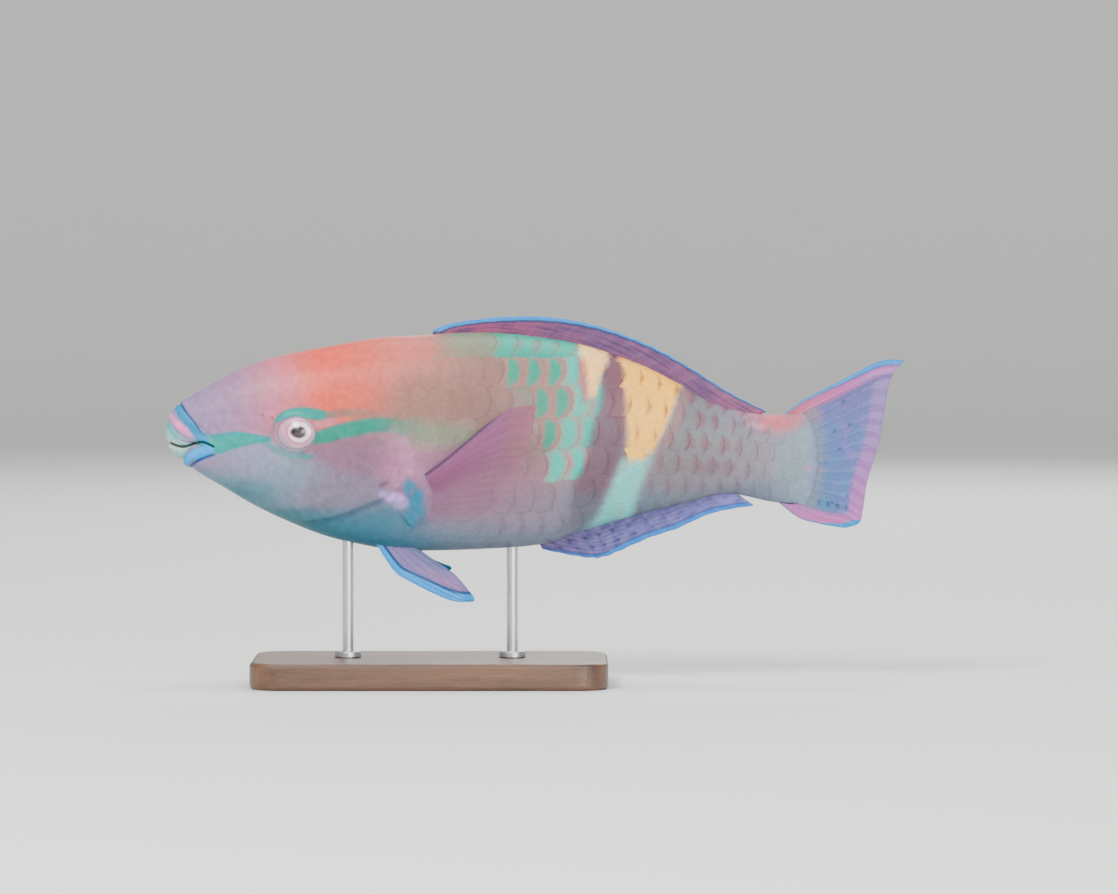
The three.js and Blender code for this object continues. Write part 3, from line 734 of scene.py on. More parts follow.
BANDS = (
    Band("snout band", ((17, 0.2), (24, -1.0), (31, 0.2), (37.5, 1.2), (43.5, 1.2), (48, 0.4)),
         (2.5, 3.9, 3.4, 2.4, 1.7, 1.0), (1, 1, 1, 0.95, 0.75, 0.2), "#1cb0a8"),
    Band("line before the eye", ((46, 0.6), (49, 4), (50.4, 8), (53, 11)),
         (0.9, 0.9, 0.9, 1.2), (0.2, 0.3, 0.35, 0.5), "#4aa09c", 0.8),
    # A teal line under the eye that also stands in for the shade below the eye's raised rim: part marking,
    # part painted shade.
    Band("line and shade under the eye", ((45, 0), (49, -3.4), (55, -5.6), (61, -6.3), (66, -6.9)),
         (1.6, 1.5, 1.4, 1.4, 1.1), (0.3, 0.4, 0.35, 0.4, 0.75), "#55a095", 0.7),
    Band("arc over the eye", ((51, 9.4), (56, 12.2), (63, 12.8), (70, 12), (76, 11.2)),
         (0.9, 2.1, 2.6, 2.3, 1.2), (0.7, 1, 1, 0.9, 0.3), "#28aca6"),
    Band("upper trail", ((74, 12), (84, 13), (96, 12), (110, 9.5)),
         (1.5, 2.0, 2.2, 2.0), (0.6, 0.7, 0.4, 0.1), "#938a80", 0.6),
    Band("band behind the eye", ((67, 1.4), (74, 3), (84, 5.6), (96, 7.6), (107, 6.6), (120, 4.6)),
         (2.4, 3.2, 3.3, 3.2, 3.2, 3.2), (1, 1, 1, 0.85, 0.5, 0.1), "#4ea190"),
    Band("band trail", ((106, 6.4), (124, 4), (142, 1.5), (158, 1)),
         (3.6, 4.0, 3.6, 3.0), (0.5, 0.7, 0.6, 0.2), "#989e8c", 0.6),
    Band("pink wedge", ((69, 7.6), (74.5, 8.8), (80, 9.6)), (1.5, 1.9, 0.8), (0.95, 1, 0.2), "#d6929f"),
    Band("opercle light", ((103, 4), (109, -4), (110, -13), (105, -20)),
         (2.4, 3.0, 2.6, 1.6), (0.25, 0.5, 0.5, 0.3), "#c79ab6", 0.6),
    Band("gill shadow", ((103.5, -23.2), (96, -27), (89.5, -30), (78, -34.3), (66, -37), (56, -36.6)),
         (0.8, 1.1, 1.2, 1.3, 1.3, 0.8), (0.3, 0.45, 0.4, 0.35, 0.3, 0.1), "#5c7f96", 0.8),
    Band("upper lip ground", ((1.5, 12.5), (3.8, 7.6), (8, 3), (13.5, 0.6)),
         (2.4, 2.6, 2.4, 1.4), (0.8, 0.85, 0.8, 0.5), "#a9adc0", 0.4),
    Band("upper lip edge", ((1.2, 12), (2.7, 7.2), (5, 3.4), (8.6, 1)),
         (0.9, 1.0, 0.9, 0.5), (0.9, 0.9, 0.8, 0.5), "#9cc6ce", 0.4),
    Band("upper lip line", ((3.4, 10.2), (5.0, 6.6), (7.4, 3.8)),
         (0.5, 0.55, 0.4), (0.6, 0.8, 0.5), "#5fa6bc", 0.5),
    Band("upper lip pink", ((3.6, 10.8), (6.2, 7.6), (9.2, 4.8), (12.6, 2.0)),
         (1.1, 1.6, 1.6, 0.8), (0.9, 1, 1, 0.6), "#e8a4c8", 0.4),
    Band("upper lip blue", ((4, 16.5), (7.2, 13.2), (10.9, 8.2), (14.8, 3.8), (18.5, 0.6)),
         (1.6, 1.6, 1.5, 1.7, 2.4), (1, 1, 1, 1, 1), "#259ccc", 0.3),
    # Painted shade: a dark blue strip laid in the crease of the upper lip's fold.
    Band("upper lip fold shadow", ((6.6, 17.4), (9.3, 13.4), (13.2, 8.2), (16.8, 4.6), (20.0, 3.0)),
         (0.5, 0.5, 0.5, 0.4, 0.3), (0.9, 0.9, 0.8, 0.6, 0.2), "#2468a2"),
    Band("lower lip cyan", ((9.5, -10), (12, -7), (16, -5.6), (20.2, -4.1), (22.4, -4.0)),
         (1.2, 1.7, 2.3, 2.4, 1.3), (0.8, 1, 1, 1, 1), "#24bcfa", 0.3),
    # Painted shade: a dark blue strip laid in the crease of the lower lip's fold.
    Band("lower lip fold shadow", ((22.6, -6.4), (17.5, -8.0), (13.4, -10.2), (10.6, -13)),
         (0.5, 0.6, 0.6, 0.5), (0.7, 0.9, 0.9, 0.6), "#2a5cae", 0.5),
    # Painted shade: dark grey-teal laid in the gap between the beak plates, over the cleft cut along the
    # mouth line.
    Band("mouth gap shadow", ((-4, -1.2), (1.35, -1.35), (7.65, -3), (13.8, -1.35), (17.8, -0.6), (22.7, -2.5)),
         (1.3, 1.2, 1.1, 0.8, 0.5, 0.3), (1, 1, 1, 1, 0.9, 0.7), "#5c7274"),
    # Painted highlight: a pale lilac glint in the pit at the pectoral fin's base.
    Band("fin pit highlight", ((98.5, -23.5), (103.5, -25), (107.5, -27.5)),
         (1.6, 2.8, 2.4), (0.6, 0.95, 0.7), "#d4b8ee", 0.7, 0.35),
    Band("dorsal fin foot", ((218, 37), (232, 29.5), (246, 20.5), (258, 14.5), (266, 12.5)),
         (2.0, 3.0, 3.4, 3.0, 2.0), (0.1, 0.5, 0.6, 0.5, 0.3), "#ae8aa8", 0.9),
    Band("tail ridge pink", ((256, 14), (265, 11), (273, 8.6), (280, 8.4), (288, 10.5)),
         (1.8, 3.2, 4.2, 4.0, 3.0), (0.1, 0.5, 0.9, 0.75, 0.4), "#e58a93", 0.9, 0.4),
    Band("old scratch", ((256.3, 10.5), (264, 7.4), (272, 3.5)),
         (0.3, 0.6, 0.4), (0.6, 0.8, 0.4), "#e6bcc4", 0.8),
    # Painted shadow below the pale scar, which makes the scar look raised.
    Band("old scratch shadow", ((257.5, 9.0), (264.5, 6.2), (271, 3.0)),
         (0.3, 0.4, 0.3), (0.5, 0.7, 0.3), "#8d6672", 0.8),
    Band("tail base mark", ((288, -12), (291.5, -13.5)), (1.2, 1.6), (0.5, 0.6), "#d9a3ac", 0.9, 0.5),
    Band("tail end", ((290, 9), (292.5, 0), (292.5, -10), (291, -19), (288, -27)),
         (2.5, 3.0, 3.0, 3.0, 2.5), (0.5, 0.6, 0.6, 0.6, 0.5), "#9ca4c2", 0.9),
    Band("fin base teal", ((109.5, -19), (113, -24), (113.5, -31), (110.5, -37)),
         (2.4, 3.6, 3.6, 2.4), (0.6, 0.9, 0.8, 0.4), "#4a98b8", 0.9, 0.5),
    Band("fin base marks", ((106.5, -33.5), (109.5, -37), (112, -38.6)),
         (0.5, 0.7, 0.5), (0.4, 0.7, 0.4), "#3f6c88", 0.8),
    Band("gill corner", ((97, -20.4), (99.4, -18.6), (101.6, -18.2)),
         (0.7, 0.9, 0.6), (0.4, 0.7, 0.4), "#7a5a72", 0.8),
)

PATCHES = (
    Patch("teal field", ((153, 38.5), (197, 38.5), (197, 30), (199, 18), (193, -1), (189, -13), (184, -20),
          (174, -19), (172, -11), (169, 3), (166, 15), (160, 23), (153, 26)),
          "#66ae9a", "#bb908d", 0.16, 4.0, 0.95, 0.8),
    Patch("bright teal", ((182, 52), (196, 52), (195, 38), (198, 18), (192, 0), (188, -13), (183, -20),
          (174, -19), (174, -6), (179, 8), (185, 13), (183, 28), (181, 36)),
          "#50cabc", "#c49397", 0.16, 3.0, 0.9, 0.8),
    Patch("front scallops", ((122, 60), (160, 60), (158, 38), (145, 38), (126, 40)),
          "#8fa592", "#a0a08e", 0.2, 6.0, 0.75, 0.3),
    Patch("teal scallops", ((150, 60), (199, 60), (199, 37), (186, 37.5), (165, 38.5), (151, 39.5)),
          "#4cbcab", "#86a69a", 0.2, 6.0, 0.95, 0.4),
    Patch("dark bar", ((196, 60), (205, 60), (205, 37), (206.5, 20), (207.5, 6), (205.5, -7), (201.5, -17),
          (197, -30), (183, -36), (184, -20), (190, -8), (192, 4), (196, 16), (198, 36)),
          "#886e7c", "#7c6371", 0.12, 2.4, 1.0, 0.0),
    Patch("dark bar top", ((198, 60), (205, 60), (205.5, 36), (206.5, 20), (207, 8), (198, 12), (199, 30)),
          "#956c79", "#895d69", 0.12, 2.0, 0.8, 0.0),
    Patch("dark bar foot", ((184, -23), (200, -23), (197, -37), (181, -39)),
          "#7c828e", "#747a86", 0.12, 5.0, 0.8, 0.0),
    Patch("pale teal bar", ((205.5, -8), (219, -7.5), (214, -20), (210, -34), (206, -42), (188, -42),
          (195, -33), (201, -19)),
          "#a8d6d2", "#b4ccc8", 0.08, 2.4, 0.95, 0.1),
    Patch("front yellow", ((183, 60), (199, 60), (199.5, 36), (196, 29), (193.5, 19), (190.2, 20),
          (189, 30), (186.5, 38)),
          "#ffe0c4", "#f8bf9c", 0.1, 1.2, 1.0, 0.0),
    Patch("front yellow rim", ((185.6, 37.5), (188.6, 36.5), (190, 26), (191, 18), (188, 17), (186.5, 26)),
          "#d98486", "#d98486", 0.1, 1.2, 0.8, 0.0),
    Patch("rear yellow", ((205.2, 60), (236, 60), (236, 26), (232.8, 23), (228.4, 12.6), (224.4, 3.3),
          (219.2, -6.6), (215, -8.8), (207.8, -9.2), (208.4, 3.3), (207, 16.6), (204.8, 34)),
          "#ffd8b2", "#c4946a", 0.11, 1.1, 1.0, 0.3),
    Patch("red rim", ((202.8, 40), (204.9, 38), (205.4, 26), (206.9, 12), (206.2, 2), (204.4, 2), (204, 20)),
          "#a5686e", "#a5686e", 0.1, 1.0, 0.5, 0.0),
    Patch("rear red rim", ((233.5, 24), (237, 22), (232, 8), (226, -2), (222.5, -6), (221, -5), (225.5, 3.5),
          (229.5, 13)),
          "#b4878a", "#b08084", 0.1, 1.6, 0.6, 0.0),
)


@dataclass(frozen=True)
class Markings:
    """The fish's colours, worked out for any place on its side."""

    zones: Tuple[Zone, ...] = GROUND
    bands: Tuple[Band, ...] = BANDS
    patches: Tuple[Patch, ...] = PATCHES
    margin_tint: str = "#9c7882"
    centre_tint: str = "#8b9898"

    def ground(self, length: Array, height: Array) -> Array:
        """Ground colour, blended from the zones by how near each is.

        Args:
            length: places along the fish.
            height: heights from its axis.

        Returns:
            Its sRGB parts for each place.
        """
        total = np.full(np.shape(length), 1e-30)
        paint = np.zeros(np.shape(length) + (3,))
        for zone in self.zones:
            far = ((length - zone.place[0]) / zone.spread[0]) ** 2
            far = far + ((height - zone.place[1]) / zone.spread[1]) ** 2
            weight = np.exp(-np.minimum(far, 40))
            total += weight
            paint += weight[..., None] * srgb(zone.shade)
        return paint / total[..., None]

    def skin(self, length: Array, height: Array) -> Array:
        """Colour of bare skin: ground and painted lines.

        Args:
            length: places along the fish.
            height: heights from its axis.

        Returns:
            Its sRGB parts for each place.
        """
        paint = self.ground(length, height)
        shift = wander(length, height, 9, 11) * 0.35
        for band in self.bands:
            paint = lay(paint, band.shade, band.cover(length + shift, height + shift))
        return paint

    def scale(self, place: Array, home: Array) -> Tuple[Array, Array, Array]:
        """Colours of the scales.

        Args:
            place: length and height of each point.
            home: length and height of the middle of each point's scale.

        Returns:
            The middle colour, the rear edge's colour and the edge's width as a share.
        """
        length, height = place[:, 0], place[:, 1]
        middle = self.skin(length, height)
        rear = ease(length, 200, 232) * (1 - ease(length, 252, 276))
        flesh = ease(length, 118, 160) * (1 - ease(length, 255, 278))
        reddish = 0.35 + 0.65 * ease(height, -22, 4)
        tint = (0.2 + 0.45 * rear) * flesh * reddish
        margin = lay(middle * (1 - 0.06 * flesh[:, None]), self.margin_tint, tint)
        middle = lay(middle, self.centre_tint, 0.5 * rear * ease(height, -24, 8))
        wide = np.full(np.shape(length), 0.14) + 0.1 * rear
        for patch in self.patches:
            cover = patch.on_scales(place, home)
            middle = lay(middle, patch.middle, cover)
            margin = lay(margin, patch.margin, cover)
            wide = wide + (patch.margin_width - wide) * cover
        return middle, margin, wide

    def share(self, names: Sequence[str], place: Array, home: Array) -> Array:
        """Greatest cover of the named patches."""
        chosen = [patch.on_scales(place, home) for patch in self.patches if patch.name in names]
        return np.max(chosen, axis=0)

    def dashes(self, place: Array, home: Array) -> Array:
        """Where teal shows only as an upright dash on each scale."""
        solid = np.maximum(self.share(("front yellow", "dark bar"), place, home),
                           np.maximum(0.5 * self.share(("bright teal",), place, home),
                                      0.8 * self.share(("teal scallops",), place, home)))
        return self.share(("teal field",), place, home) * (1 - np.clip(solid, 0, 1))

    def slits(self, place: Array, home: Array) -> Array:
        """Where a scale's rear edge shows only as a short dark slit."""
        return self.share(("front yellow", "rear yellow"), place, home)


@dataclass
class Blank:
    """A raw mesh whose points still carry their own u, v and face side."""

    mesh: Mesh
    u: Array
    v: Array
    side: Array

    def shape(self, points: Array) -> None:
        """Moves the points to places on the fish, in millimetres."""
        self.mesh.vertices.foreach_set("co", in_frame(points).ravel())

    def taper(self, across: float, up: float) -> Array:
        """Share of the thickness, rounded off to nothing at the borders.

        Args:
            across: one over the width of the rounded border along u.
            up: the same along v.

        Returns:
            0 on the borders to 1 inside.
        """
        border = np.minimum(np.minimum(self.u, 1 - self.u) * across, np.minimum(self.v, 1 - self.v) * up)
        return np.sqrt(np.clip(border, 0, 1))

    def set_uv(self, name: str, u: Array, v: Array) -> None:
        """Adds a UV map from one pair of values a point.

        Args:
            name: the map.
            u: one value for each point.
            v: the same.
        """
        layer = self.mesh.uv_layers.new(name=name)
        corner = np.empty(len(self.mesh.loops), int)
        self.mesh.loops.foreach_get("vertex_index", corner)
        layer.data.foreach_set("uv", np.stack([u[corner], v[corner]], axis=-1).ravel())

    def set_sheet_uv(self) -> None:
        """Adds the bake map of a sheet with a front and a back, one above the other."""
        self.set_uv("OFBake", 0.02 + 0.96 * self.u, 0.27 + 0.25 * self.side + 0.46 * self.v)

    def set_colour(self, name: str, paint: Array) -> None:
        """Adds a colour for each point from sRGB parts."""
        layer = self.mesh.attributes.new(name, "FLOAT_COLOR", "POINT")
        shades = pigment(linear(np.clip(paint, 0, 1)))
        layer.data.foreach_set("color", np.concatenate([shades, np.ones((len(paint), 1))], axis=-1).ravel())

    def set_value(self, name: str, values: Array) -> None:
        """Adds a number for each point."""
        layer = self.mesh.attributes.new(name, "FLOAT", "POINT")
        layer.data.foreach_set("value", np.asarray(values, np.float32))

    def close(self) -> None:
        """Welds borders that meet and turns the faces outwards."""
        shape = bmesh.new()
        shape.from_mesh(self.mesh)
        bmesh.ops.remove_doubles(shape, verts=shape.verts[:], dist=2e-7)
        bmesh.ops.dissolve_degenerate(shape, edges=shape.edges[:], dist=1e-7)
        if shape.calc_volume(signed=True) < 0:
            bmesh.ops.reverse_faces(shape, faces=shape.faces[:])
        shape.to_mesh(self.mesh)
        shape.free()


def as_mesh(shape: Shape, name: str) -> Mesh:
    """Turns a worked shape into a mesh and frees it."""
    mesh = bpy.data.meshes.new(name)
    shape.to_mesh(mesh)
    shape.free()
    return mesh


def point_places(mesh: Mesh) -> Array:
    """Places of a mesh's points, one row for each."""
    place = np.empty(len(mesh.vertices) * 3)
    mesh.vertices.foreach_get("co", place)
    return place.reshape(-1, 3)


def link(name: str, data: bpy.types.ID) -> bpy.types.Object:
    """Makes an object and links it into the scene."""
    made = bpy.data.objects.new(name, data)
    bpy.context.scene.collection.objects.link(made)
    return made


def blank(name: str, columns: int, rows: int, sides: Sequence[int] = (1,)) -> Blank:
    """Makes one grid, or a front and a back grid, over u and v from 0 to 1.

    Args:
        name: the mesh.
        columns: faces along u.
        rows: faces along v.
        sides: 1 for a front face, -1 for a back face turned the other way.

    Returns:
        The raw mesh with its u, v and side for each point.
    """
    shape = bmesh.new()
    for side in sides:
        bmesh.ops.create_grid(shape, x_segments=columns, y_segments=rows, size=0.5,
                              matrix=Matrix.Translation((0.5, 0.5, side)))
    turned = [face for face in shape.faces if face.verts[0].co.z < 0]
    bmesh.ops.reverse_faces(shape, faces=turned)
    mesh = as_mesh(shape, name)
    return Blank(mesh, *point_places(mesh).T.copy())


def tile(name: str, cell: Blank, count: int) -> Blank:
    """Repeats a raw mesh many times in one mesh, to be shaped by its u, v and side.

    Args:
        name: the new mesh.
        cell: the raw mesh that is repeated.
        count: how many copies.

    Returns:
        The joined raw mesh.
    """
    size, corners = len(cell.u), len(cell.mesh.loops)
    corner = np.empty(corners, int)
    cell.mesh.loops.foreach_get("vertex_index", corner)
    mesh = bpy.data.meshes.new(name)
    mesh.vertices.add(size * count)
    mesh.loops.add(corners * count)
    mesh.polygons.add(corners // 4 * count)
    every = (corner[None, :] + size * np.arange(count)[:, None]).ravel()
    mesh.loops.foreach_set("vertex_index", every)
    mesh.polygons.foreach_set("loop_start", np.arange(0, corners * count, 4))
    mesh.update(calc_edges=True)
    bpy.data.meshes.remove(cell.mesh)
    return Blank(mesh, *(np.tile(values, count) for values in (cell.u, cell.v, cell.side)))


def add_piece(mesh: Mesh, material: Material,
              nodes: Sequence[str] = (), smooth: bool = True) -> None:
    """Links a finished mesh as a piece of the model.

    Args:
        mesh: the shape, in the frame.
        material: its finish.
        nodes: the CAD nodes that it stands for.
        smooth: whether its faces are shaded smooth.
    """
    piece = link(mesh.name, mesh)
    mesh.materials.append(material)
    mesh.polygons.foreach_set("use_smooth", [smooth] * len(mesh.polygons))
    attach(piece, "root")
    if nodes:
        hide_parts(*nodes)
    faces = sum(len(face.vertices) - 2 for face in mesh.polygons)
    log.info("%s: %d triangles, replaces %s", piece.name, faces, ", ".join(nodes) or "nothing")


def add_node(tree: Tree, kind: str, inputs: Optional[Dict] = None, **settings: object) -> bpy.types.Node:
    """Adds a shader node.

    Args:
        tree: the material's nodes.
        kind: the node's type after the word ShaderNode.
        inputs: socket names or numbers, each with a value or an output to link from.
        settings: the node's own options.

    Returns:
        The node.
    """
    node = tree.nodes.new("ShaderNode" + kind)
    for name, value in settings.items():
        setattr(node, name, value)
    for key, value in (inputs or {}).items():
        if isinstance(value, Socket):
            tree.links.new(value, node.inputs[key])
        else:
            node.inputs[key].default_value = value
    return node


def noise(tree: Tree, size_mm: float, detail: float = 3.0, rough: float = 0.55,
          place: Optional[Socket] = None) -> Socket:
    """Noise of a given feature size, in the frame's own metres.

    Args:
        tree: the material's nodes.
        size_mm: size of one feature.
        detail: levels of finer noise.
        rough: strength of the finer noise.
        place: where it is looked up, the piece's own place if none is given.

    Returns:
        The noise's value.
    """
    place = place or add_node(tree, "TexCoord").outputs["Object"]
    inputs = {"Vector": place, "Scale": 1 / (size_mm * MM), "Detail": detail, "Roughness": rough}
    return add_node(tree, "TexNoise", inputs).outputs["Fac"]


def drawn_out(tree: Tree, scale: Triple) -> Socket:
    """The piece's own place, with a pattern drawn out along the axes of small scale."""
    place = add_node(tree, "TexCoord").outputs["Object"]
    return add_node(tree, "Mapping", {0: place, "Scale": scale}).outputs[0]


def mix(tree: Tree, share: Union[float, Socket], low: object, high: object, blend: str = "MIX") -> Socket:
    """Mixes two colours; each may be a value or an output."""
    return add_node(tree, "Mix", {0: share, 6: low, 7: high}, data_type="RGBA", blend_type=blend).outputs[2]


def spread(tree: Tree, value: Socket, low: Pair, high: Pair) -> Socket:
    """Maps low[0]..high[0] to low[1]..high[1]."""
    inputs = {"Value": value, "From Min": low[0], "To Min": low[1], "From Max": high[0], "To Max": high[1]}
    return add_node(tree, "MapRange", inputs).outputs["Result"]


def tone(tree: Tree, pattern: Socket, low: float, high: float) -> Socket:
    """Maps the range that most noise lies in to low..high."""
    return spread(tree, pattern, (0.3, low), (0.7, high))


def mottled(tree: Tree, paint: object, pattern: Socket, low: float, high: float) -> Socket:
    """Darkens and lightens a paint by noise, from low to high times its own colour."""
    return mix(tree, 1.0, paint, tone(tree, pattern, low, high), "MULTIPLY")


def calc(tree: Tree, operation: str, first: object, second: object = 0.0) -> Socket:
    """One sum on two numbers, each a value or an output."""
    return add_node(tree, "Math", {0: first, 1: second}, operation=operation).outputs[0]


def smooth(tree: Tree, value: Socket, low: float, high: float) -> Socket:
    """Share that eases from 0 at the low value to 1 at the high one."""
    return add_node(tree, "MapRange", {"Value": value, "From Min": low, "From Max": high},
                    interpolation_type="SMOOTHSTEP").outputs["Result"]


def relief(tree: Tree, height: Socket, depth_mm: float) -> Socket:
    """Turns a height from 0 to 1 into a bumped normal of the given real depth."""
    inputs = {"Height": height, "Distance": depth_mm * MM, "Strength": 1.0}
    return add_node(tree, "Bump", inputs).outputs["Normal"]


def kept_on_points(tree: Tree, name: str, part: str = "Fac") -> Socket:
    """Number kept on the points, or their paint for the part called Color."""
    return add_node(tree, "Attribute", attribute_name=name).outputs[part]


def shader(tree: Tree, inputs: Dict) -> Socket:
    """Adds the surface shader with its values and links."""
    return add_node(tree, "BsdfPrincipled", inputs).outputs[0]


def blended(tree: Tree, share: Socket, first: Socket, second: Socket) -> Socket:
    """Mixes two surfaces by a share."""
    return add_node(tree, "MixShader", {0: share, 1: first, 2: second}).outputs[0]


@dataclass(frozen=True)
class Finish:
    """A material named for the real one."""

    name: str

    def surface(self, tree: Tree) -> Socket:
        """Adds the nodes and gives their surface.

        Args:
            tree: the material's nodes.

        Returns:
            The surface's output.
        """
        raise NotImplementedError

    def build(self) -> Material:
        """Makes the material."""
        material = bpy.data.materials.new(self.name)
        material.use_nodes = True
        tree = material.node_tree
        tree.nodes.clear()
        add_node(tree, "OutputMaterial", {"Surface": self.surface(tree)})
        return material


@dataclass(frozen=True)
class SkinFinish(Finish):
    """Wet fish skin: painted pigment under a thin clear slime, with pores and fine folds."""

    name: str = "fish_skin"
    roughness: float = 0.5
    gloss: float = 0.08
    mottle_mm: float = 3.2
    grain_mm: float = 0.55
    grain_depth_mm: float = 0.05

    def surface(self, tree: Tree) -> Socket:
        """Adds the nodes and gives their surface."""
        paint = kept_on_points(tree, "Paint", "Color")
        paint = mottled(tree, paint, noise(tree, self.mottle_mm), 0.86, 1.12)
        grain = noise(tree, self.grain_mm, 2.0)
        return shader(tree, {
            "Base Color": mottled(tree, paint, grain, 0.93, 1.06),
            "Roughness": tone(tree, grain, self.roughness - 0.06, self.roughness + 0.08),
            "Normal": relief(tree, grain, self.grain_depth_mm),
            "Subsurface Weight": 0.06, "Subsurface Radius": (1.0, 0.5, 0.35), "Subsurface Scale": 0.0012,
            "Coat Weight": self.gloss, "Coat Roughness": 0.25, "Specular IOR Level": 0.22})


@dataclass(frozen=True)
class ScaleFinish(Finish):
    """Thin bony scales with growth rings, pigment in the middle and a coloured rear edge."""

    name: str = "fish_scale"
    roughness: float = 0.48
    gloss: float = 0.1
    ripple_mm: float = 2.2
    ripple: float = 0.2
    stroke_place: float = 0.66
    stroke_half: float = 0.16
    stroke_reach: float = 0.66
    rings: float = 26.0
    ring_bow: float = -0.35
    ring_depth_mm: float = 0.035

    def edge(self, tree: Tree, along: Socket, across: Socket) -> Socket:
        """Share of the rear edge's colour.

        Args:
            tree: the material's nodes.
            along: 0 at the scale's root to 1 at its rear edge.
            across: -1 to 1 over the scale's height.

        Returns:
            1 in the rim, and outside the middle stroke of scales that show only a stroke.
        """
        ripple = calc(tree, "MULTIPLY", calc(tree, "SUBTRACT", noise(tree, self.ripple_mm), 0.5), self.ripple)
        along, rim = calc(tree, "ADD", along, ripple), kept_on_points(tree, "Rim")
        share = smooth(tree, calc(tree, "ADD", along, rim), 0.92, 1.1)
        share = calc(tree, "MAXIMUM", share, smooth(tree, calc(tree, "SUBTRACT", rim, along), -0.4, -0.18))
        aside = calc(tree, "DIVIDE", calc(tree, "SUBTRACT", along, self.stroke_place), self.stroke_half)
        above = calc(tree, "ABSOLUTE", calc(tree, "DIVIDE", across, self.stroke_reach))
        above = calc(tree, "POWER", above, 3.0)
        outside = smooth(tree, calc(tree, "ADD", calc(tree, "MULTIPLY", aside, aside), above), 0.0, 2.4)
        return calc(tree, "MAXIMUM", share, calc(tree, "MULTIPLY", outside, kept_on_points(tree, "Dash")))

    def surface(self, tree: Tree) -> Socket:
        """Adds the nodes and gives their surface."""
        place = add_node(tree, "UVMap", uv_map="ScaleUV").outputs[0]
        parts = add_node(tree, "SeparateXYZ", {0: place})
        along, across = parts.outputs[0], parts.outputs[1]
        paint = mix(tree, self.edge(tree, along, across), kept_on_points(tree, "Centre", "Color"),
                    kept_on_points(tree, "Margin", "Color"))
        paint = mottled(tree, paint, noise(tree, 1.6), 0.88, 1.1)
        bowed = calc(tree, "MULTIPLY", calc(tree, "MULTIPLY", across, across), self.ring_bow)
        turn = calc(tree, "MULTIPLY", calc(tree, "ADD", along, bowed), self.rings * math.tau)
        ring = spread(tree, calc(tree, "SINE", turn), (-1, 0), (1, 1))
        fleck = noise(tree, 0.5, 2.0)
        height = calc(tree, "ADD", calc(tree, "MULTIPLY", ring, 0.5), calc(tree, "MULTIPLY", fleck, 0.9))
        return shader(tree, {
            "Base Color": paint, "Roughness": tone(tree, fleck, self.roughness - 0.05, self.roughness + 0.09),
            "Normal": relief(tree, height, self.ring_depth_mm),
            "Coat Weight": self.gloss, "Coat Roughness": 0.22, "Specular IOR Level": 0.24,
            "Subsurface Weight": 0.05, "Subsurface Radius": (1.0, 0.5, 0.35), "Subsurface Scale": 0.001})


@dataclass(frozen=True)
class FinFinish(Finish):
    """A fin's painted web: thin skin that lets some light through, stiffer along the rays."""

    translucency: float = 0.3
    clearness: float = 0.0
    roughness: float = 0.4
    fibre_mm: float = 0.9

    def surface(self, tree: Tree) -> Socket:
        """Adds the nodes and gives their surface."""
        paint, fibre = kept_on_points(tree, "Paint", "Color"), noise(tree, self.fibre_mm)
        paint = mottled(tree, paint, fibre, 0.86, 1.12)
        normal = relief(tree, fibre, 0.05)
        surface = shader(tree, {
            "Base Color": paint, "Roughness": self.roughness, "Normal": normal,
            "Coat Weight": 0.12, "Coat Roughness": 0.25, "Specular IOR Level": 0.28})
        glow = add_node(tree, "BsdfTranslucent", {"Color": paint, "Normal": normal}).outputs[0]
        share = calc(tree, "MULTIPLY", kept_on_points(tree, "Web"), self.translucency)
        surface = blended(tree, share, surface, glow)
        if self.clearness > 0:
            clear = add_node(tree, "BsdfTransparent", {"Color": (1, 1, 1, 1)}).outputs[0]
            share = calc(tree, "MULTIPLY", kept_on_points(tree, "Thin"), self.clearness)
            surface = blended(tree, share, surface, clear)
        return surface


@dataclass(frozen=True)
class EyeFinish(Finish):
    """Eyeball: painted iris and pupil under a wet clear cornea."""

    name: str = "fish_eye"

    def surface(self, tree: Tree) -> Socket:
        """Adds the nodes and gives their surface."""
        paint = mottled(tree, kept_on_points(tree, "Paint", "Color"), noise(tree, 1.1), 0.88, 1.1)
        return shader(tree, {"Base Color": paint, "Roughness": 0.3, "Coat Weight": 1.0,
                             "Coat Roughness": 0.04, "Coat IOR": 1.38})


@dataclass(frozen=True)
class BeakFinish(Finish):
    """Fused tooth plates: smooth enamel with faint growth lines and tiny chips."""

    name: str = "tooth_enamel"

    def surface(self, tree: Tree) -> Socket:
        """Adds the nodes and gives their surface."""
        paint, stain = kept_on_points(tree, "Paint", "Color"), noise(tree, 1.3)
        return shader(tree, {
            "Base Color": mottled(tree, paint, stain, 0.8, 1.12), "Roughness": tone(tree, stain, 0.22, 0.4),
            "Normal": relief(tree, noise(tree, 0.4), 0.04),
            "Subsurface Weight": 0.15, "Subsurface Radius": (1.0, 0.9, 0.8), "Subsurface Scale": 0.0008,
            "Coat Weight": 0.4, "Coat Roughness": 0.1})


@dataclass(frozen=True)
class WoodFinish(Finish):
    """Walnut: long grain bands, open pores and a satin oil finish."""

    name: str = "walnut"
    dark: str = "#3b261a"
    light: str = "#6b4a33"
    band_mm: float = 9.0
    pore_mm: float = 0.7

    def surface(self, tree: Tree) -> Socket:
        """Adds the nodes and gives their surface."""
        place = drawn_out(tree, (0.09, 1.0, 1.0))
        bands = noise(tree, self.band_mm, 4.0, 0.6, place)
        pores = noise(tree, self.pore_mm, 2.0, 0.6, place)
        figure = calc(tree, "ADD", calc(tree, "MULTIPLY", bands, 0.75), calc(tree, "MULTIPLY", pores, 0.35))
        figure = spread(tree, figure, (0.38, 0.0), (0.72, 1.0))
        return shader(tree, {
            "Base Color": mix(tree, figure, solid(self.dark), solid(self.light)),
            "Roughness": tone(tree, pores, 0.5, 0.36), "Normal": relief(tree, pores, 0.06),
            "Coat Weight": 0.15, "Coat Roughness": 0.3})


